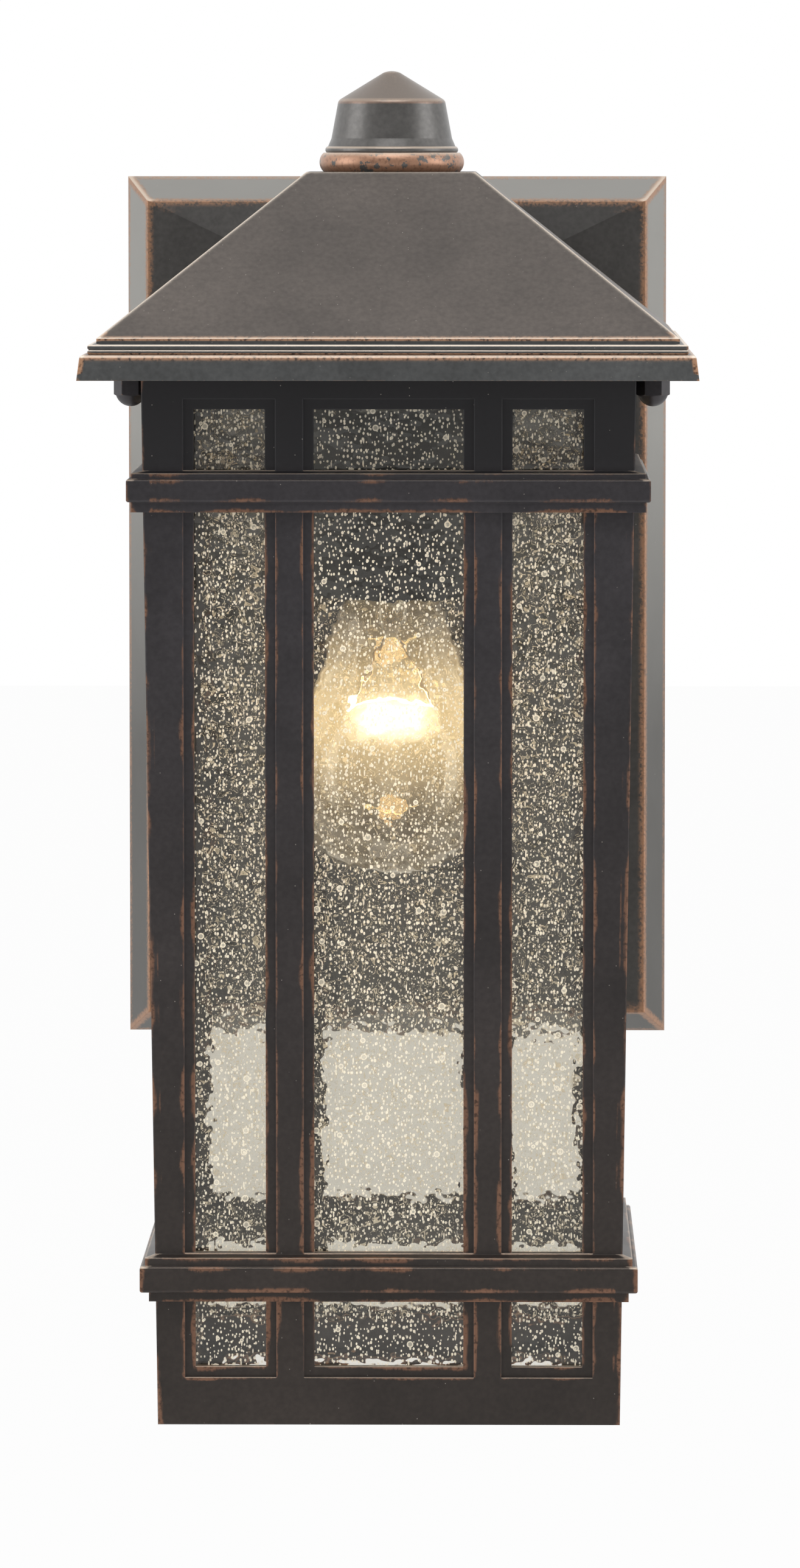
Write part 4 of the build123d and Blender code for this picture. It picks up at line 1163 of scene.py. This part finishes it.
@dataclass(frozen=True)
class Softbox:
    """One square of soft light.

    Attributes:
        name: The lamp's name.
        place: Where it hangs, in metres.
        size: Its width and height, in metres.
        strength: How bright its face is, where 1 is white paper.
    """

    name: str
    place: tuple[float, float, float]
    size: tuple[float, float]
    strength: float

    def hang(self, target: Vector) -> None:
        """Hangs the softbox and turns it to the target."""
        light = bpy.data.lights.new(self.name, "AREA")
        light.shape = "RECTANGLE"
        light.size, light.size_y = self.size
        light.energy = self.strength * math.pi * self.size[0] * self.size[1]
        lamp = bpy.data.objects.new(self.name, light)
        lamp.location = self.place
        lamp.rotation_euler = (target - Vector(self.place)).to_track_quat("-Z", "Y").to_euler()
        bpy.context.scene.collection.objects.link(lamp)


@dataclass
class Studio:
    """The pale studio: its floor, its walls of light, its softboxes and the camera.

    Attributes:
        floor_height: The floor's height. The light hangs on a wall, so the floor is well below it.
        camera_place: Where the photograph was taken from.
        pitch: How far the camera looks down, in degrees.
        yaw: How far it looks to the left, in degrees.
        focal_pixels: The lens's focal length in pixels of the photograph.
        softboxes: The lamps.
    """

    floor_height: float = -0.62
    camera_place: tuple[float, float, float] = (0.035, -2.8126, 0.158)
    pitch: float = 4.432
    yaw: float = 0.6945
    focal_pixels: float = 13896.0
    softboxes: tuple[Softbox, ...] = field(
        default_factory=lambda: (
            Softbox("softbox_above", (0.0, -1.3, 1.9), (1.6, 1.2), 2.4),
            Softbox("softbox_left", (-1.7, -0.55, 0.15), (1.0, 1.8), 2.2),
            Softbox("softbox_right", (1.7, -0.55, 0.15), (1.0, 1.8), 2.2),
        )
    )

    def build(self) -> None:
        """Builds the studio round the light."""
        self.lay_floor()
        self.light_world()
        for softbox in self.softboxes:
            softbox.hang(Vector((0.0, -AXIS_DEPTH * MM, -0.02)))
        self.set_camera()
        bpy.context.scene.view_settings.view_transform = "Standard"

    def seen(self, tree: Tree, path: Node) -> Node:
        """1 for what the camera sees, directly or through glass."""
        camera, through = path.outputs["Is Camera Ray"], path.outputs["Is Transmission Ray"]
        return put(tree, "Math", {0: camera, 1: through}, operation="MAXIMUM")

    def lay_floor(self) -> None:
        """Lays the pale floor. The camera sees it near white, with the light's shadow on it."""
        reach = 9.0
        mesh = bpy.data.meshes.new("floor")
        corners = [(-reach, -reach), (reach, -reach), (reach, reach), (-reach, reach)]
        mesh.from_pydata([(x, y, self.floor_height) for x, y in corners], [], [(0, 1, 2, 3)])
        floor = bpy.data.objects.new("floor", mesh)
        bpy.context.scene.collection.objects.link(floor)

        material, tree = new_material("painted_floor")
        paint = put(tree, "BsdfPrincipled", {"Base Color": linear("fafaf9"), "Roughness": 0.8})
        white = put(tree, "Emission", {"Color": WHITE, "Strength": 1.0})
        seen = self.seen(tree, put(tree, "LightPath"))
        share = put(tree, "Math", {0: seen, 1: 0.94}, operation="MULTIPLY")
        shader = put(tree, "MixShader", {0: share, 1: paint, 2: white})
        put(tree, "OutputMaterial", {"Surface": shader})
        mesh.materials.append(material)

    def light_world(self) -> None:
        """Surrounds the light with white walls, and a dim room behind the camera."""
        world = bpy.data.worlds.new("studio")
        bpy.context.scene.world = world
        world.use_nodes = True
        tree = world.node_tree
        tree.nodes.clear()
        direction = put(tree, "TexCoord").outputs["Generated"]
        toward = put(tree, "SeparateXYZ", {0: direction}).outputs["Y"]
        path = put(tree, "LightPath")
        mirrored = put(
            tree, "MapRange",
            {"Value": toward, "From Min": -1.0, "From Max": -0.1, "To Min": 0.2, "To Max": 1.0}, **SOFT,
        )
        seen = self.seen(tree, path)
        fill = 0.62
        on_gloss = put(
            tree, "Mix", {0: path.outputs["Is Glossy Ray"], 2: fill, 3: mirrored}, data_type="FLOAT",
        )
        strength = put(tree, "Mix", {0: seen, 2: on_gloss, 3: 1.0}, data_type="FLOAT")
        sky = put(tree, "Background", {"Color": WHITE, "Strength": strength})
        put(tree, "OutputWorld", {"Surface": sky})

    def set_camera(self) -> None:
        """Sets the camera at the photograph's place, with its lens."""
        data = bpy.data.cameras.new("camera")
        data.sensor_width = 36.0
        data.lens = self.focal_pixels * data.sensor_width / PHOTO_HEIGHT
        data.clip_start, data.clip_end = 0.05, 50.0
        camera = bpy.data.objects.new("camera", data)
        camera.location = self.camera_place
        camera.rotation_euler = (math.radians(90.0 - self.pitch), 0.0, math.radians(self.yaw))
        bpy.context.scene.collection.objects.link(camera)
        bpy.context.scene.camera = camera


def main() -> None:
    """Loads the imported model, dresses it and builds the studio."""
    logging.basicConfig(level=logging.INFO, format="%(name)s: %(message)s")
    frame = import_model()
    for part in (WallMounting(), HippedRoof(), GlazedCage(), BulbAndHolder()):
        part.finish(frame)
        log.info("dressed the %s", type(part).__name__)
    Studio().build()


if __name__ == "__main__":
    main()
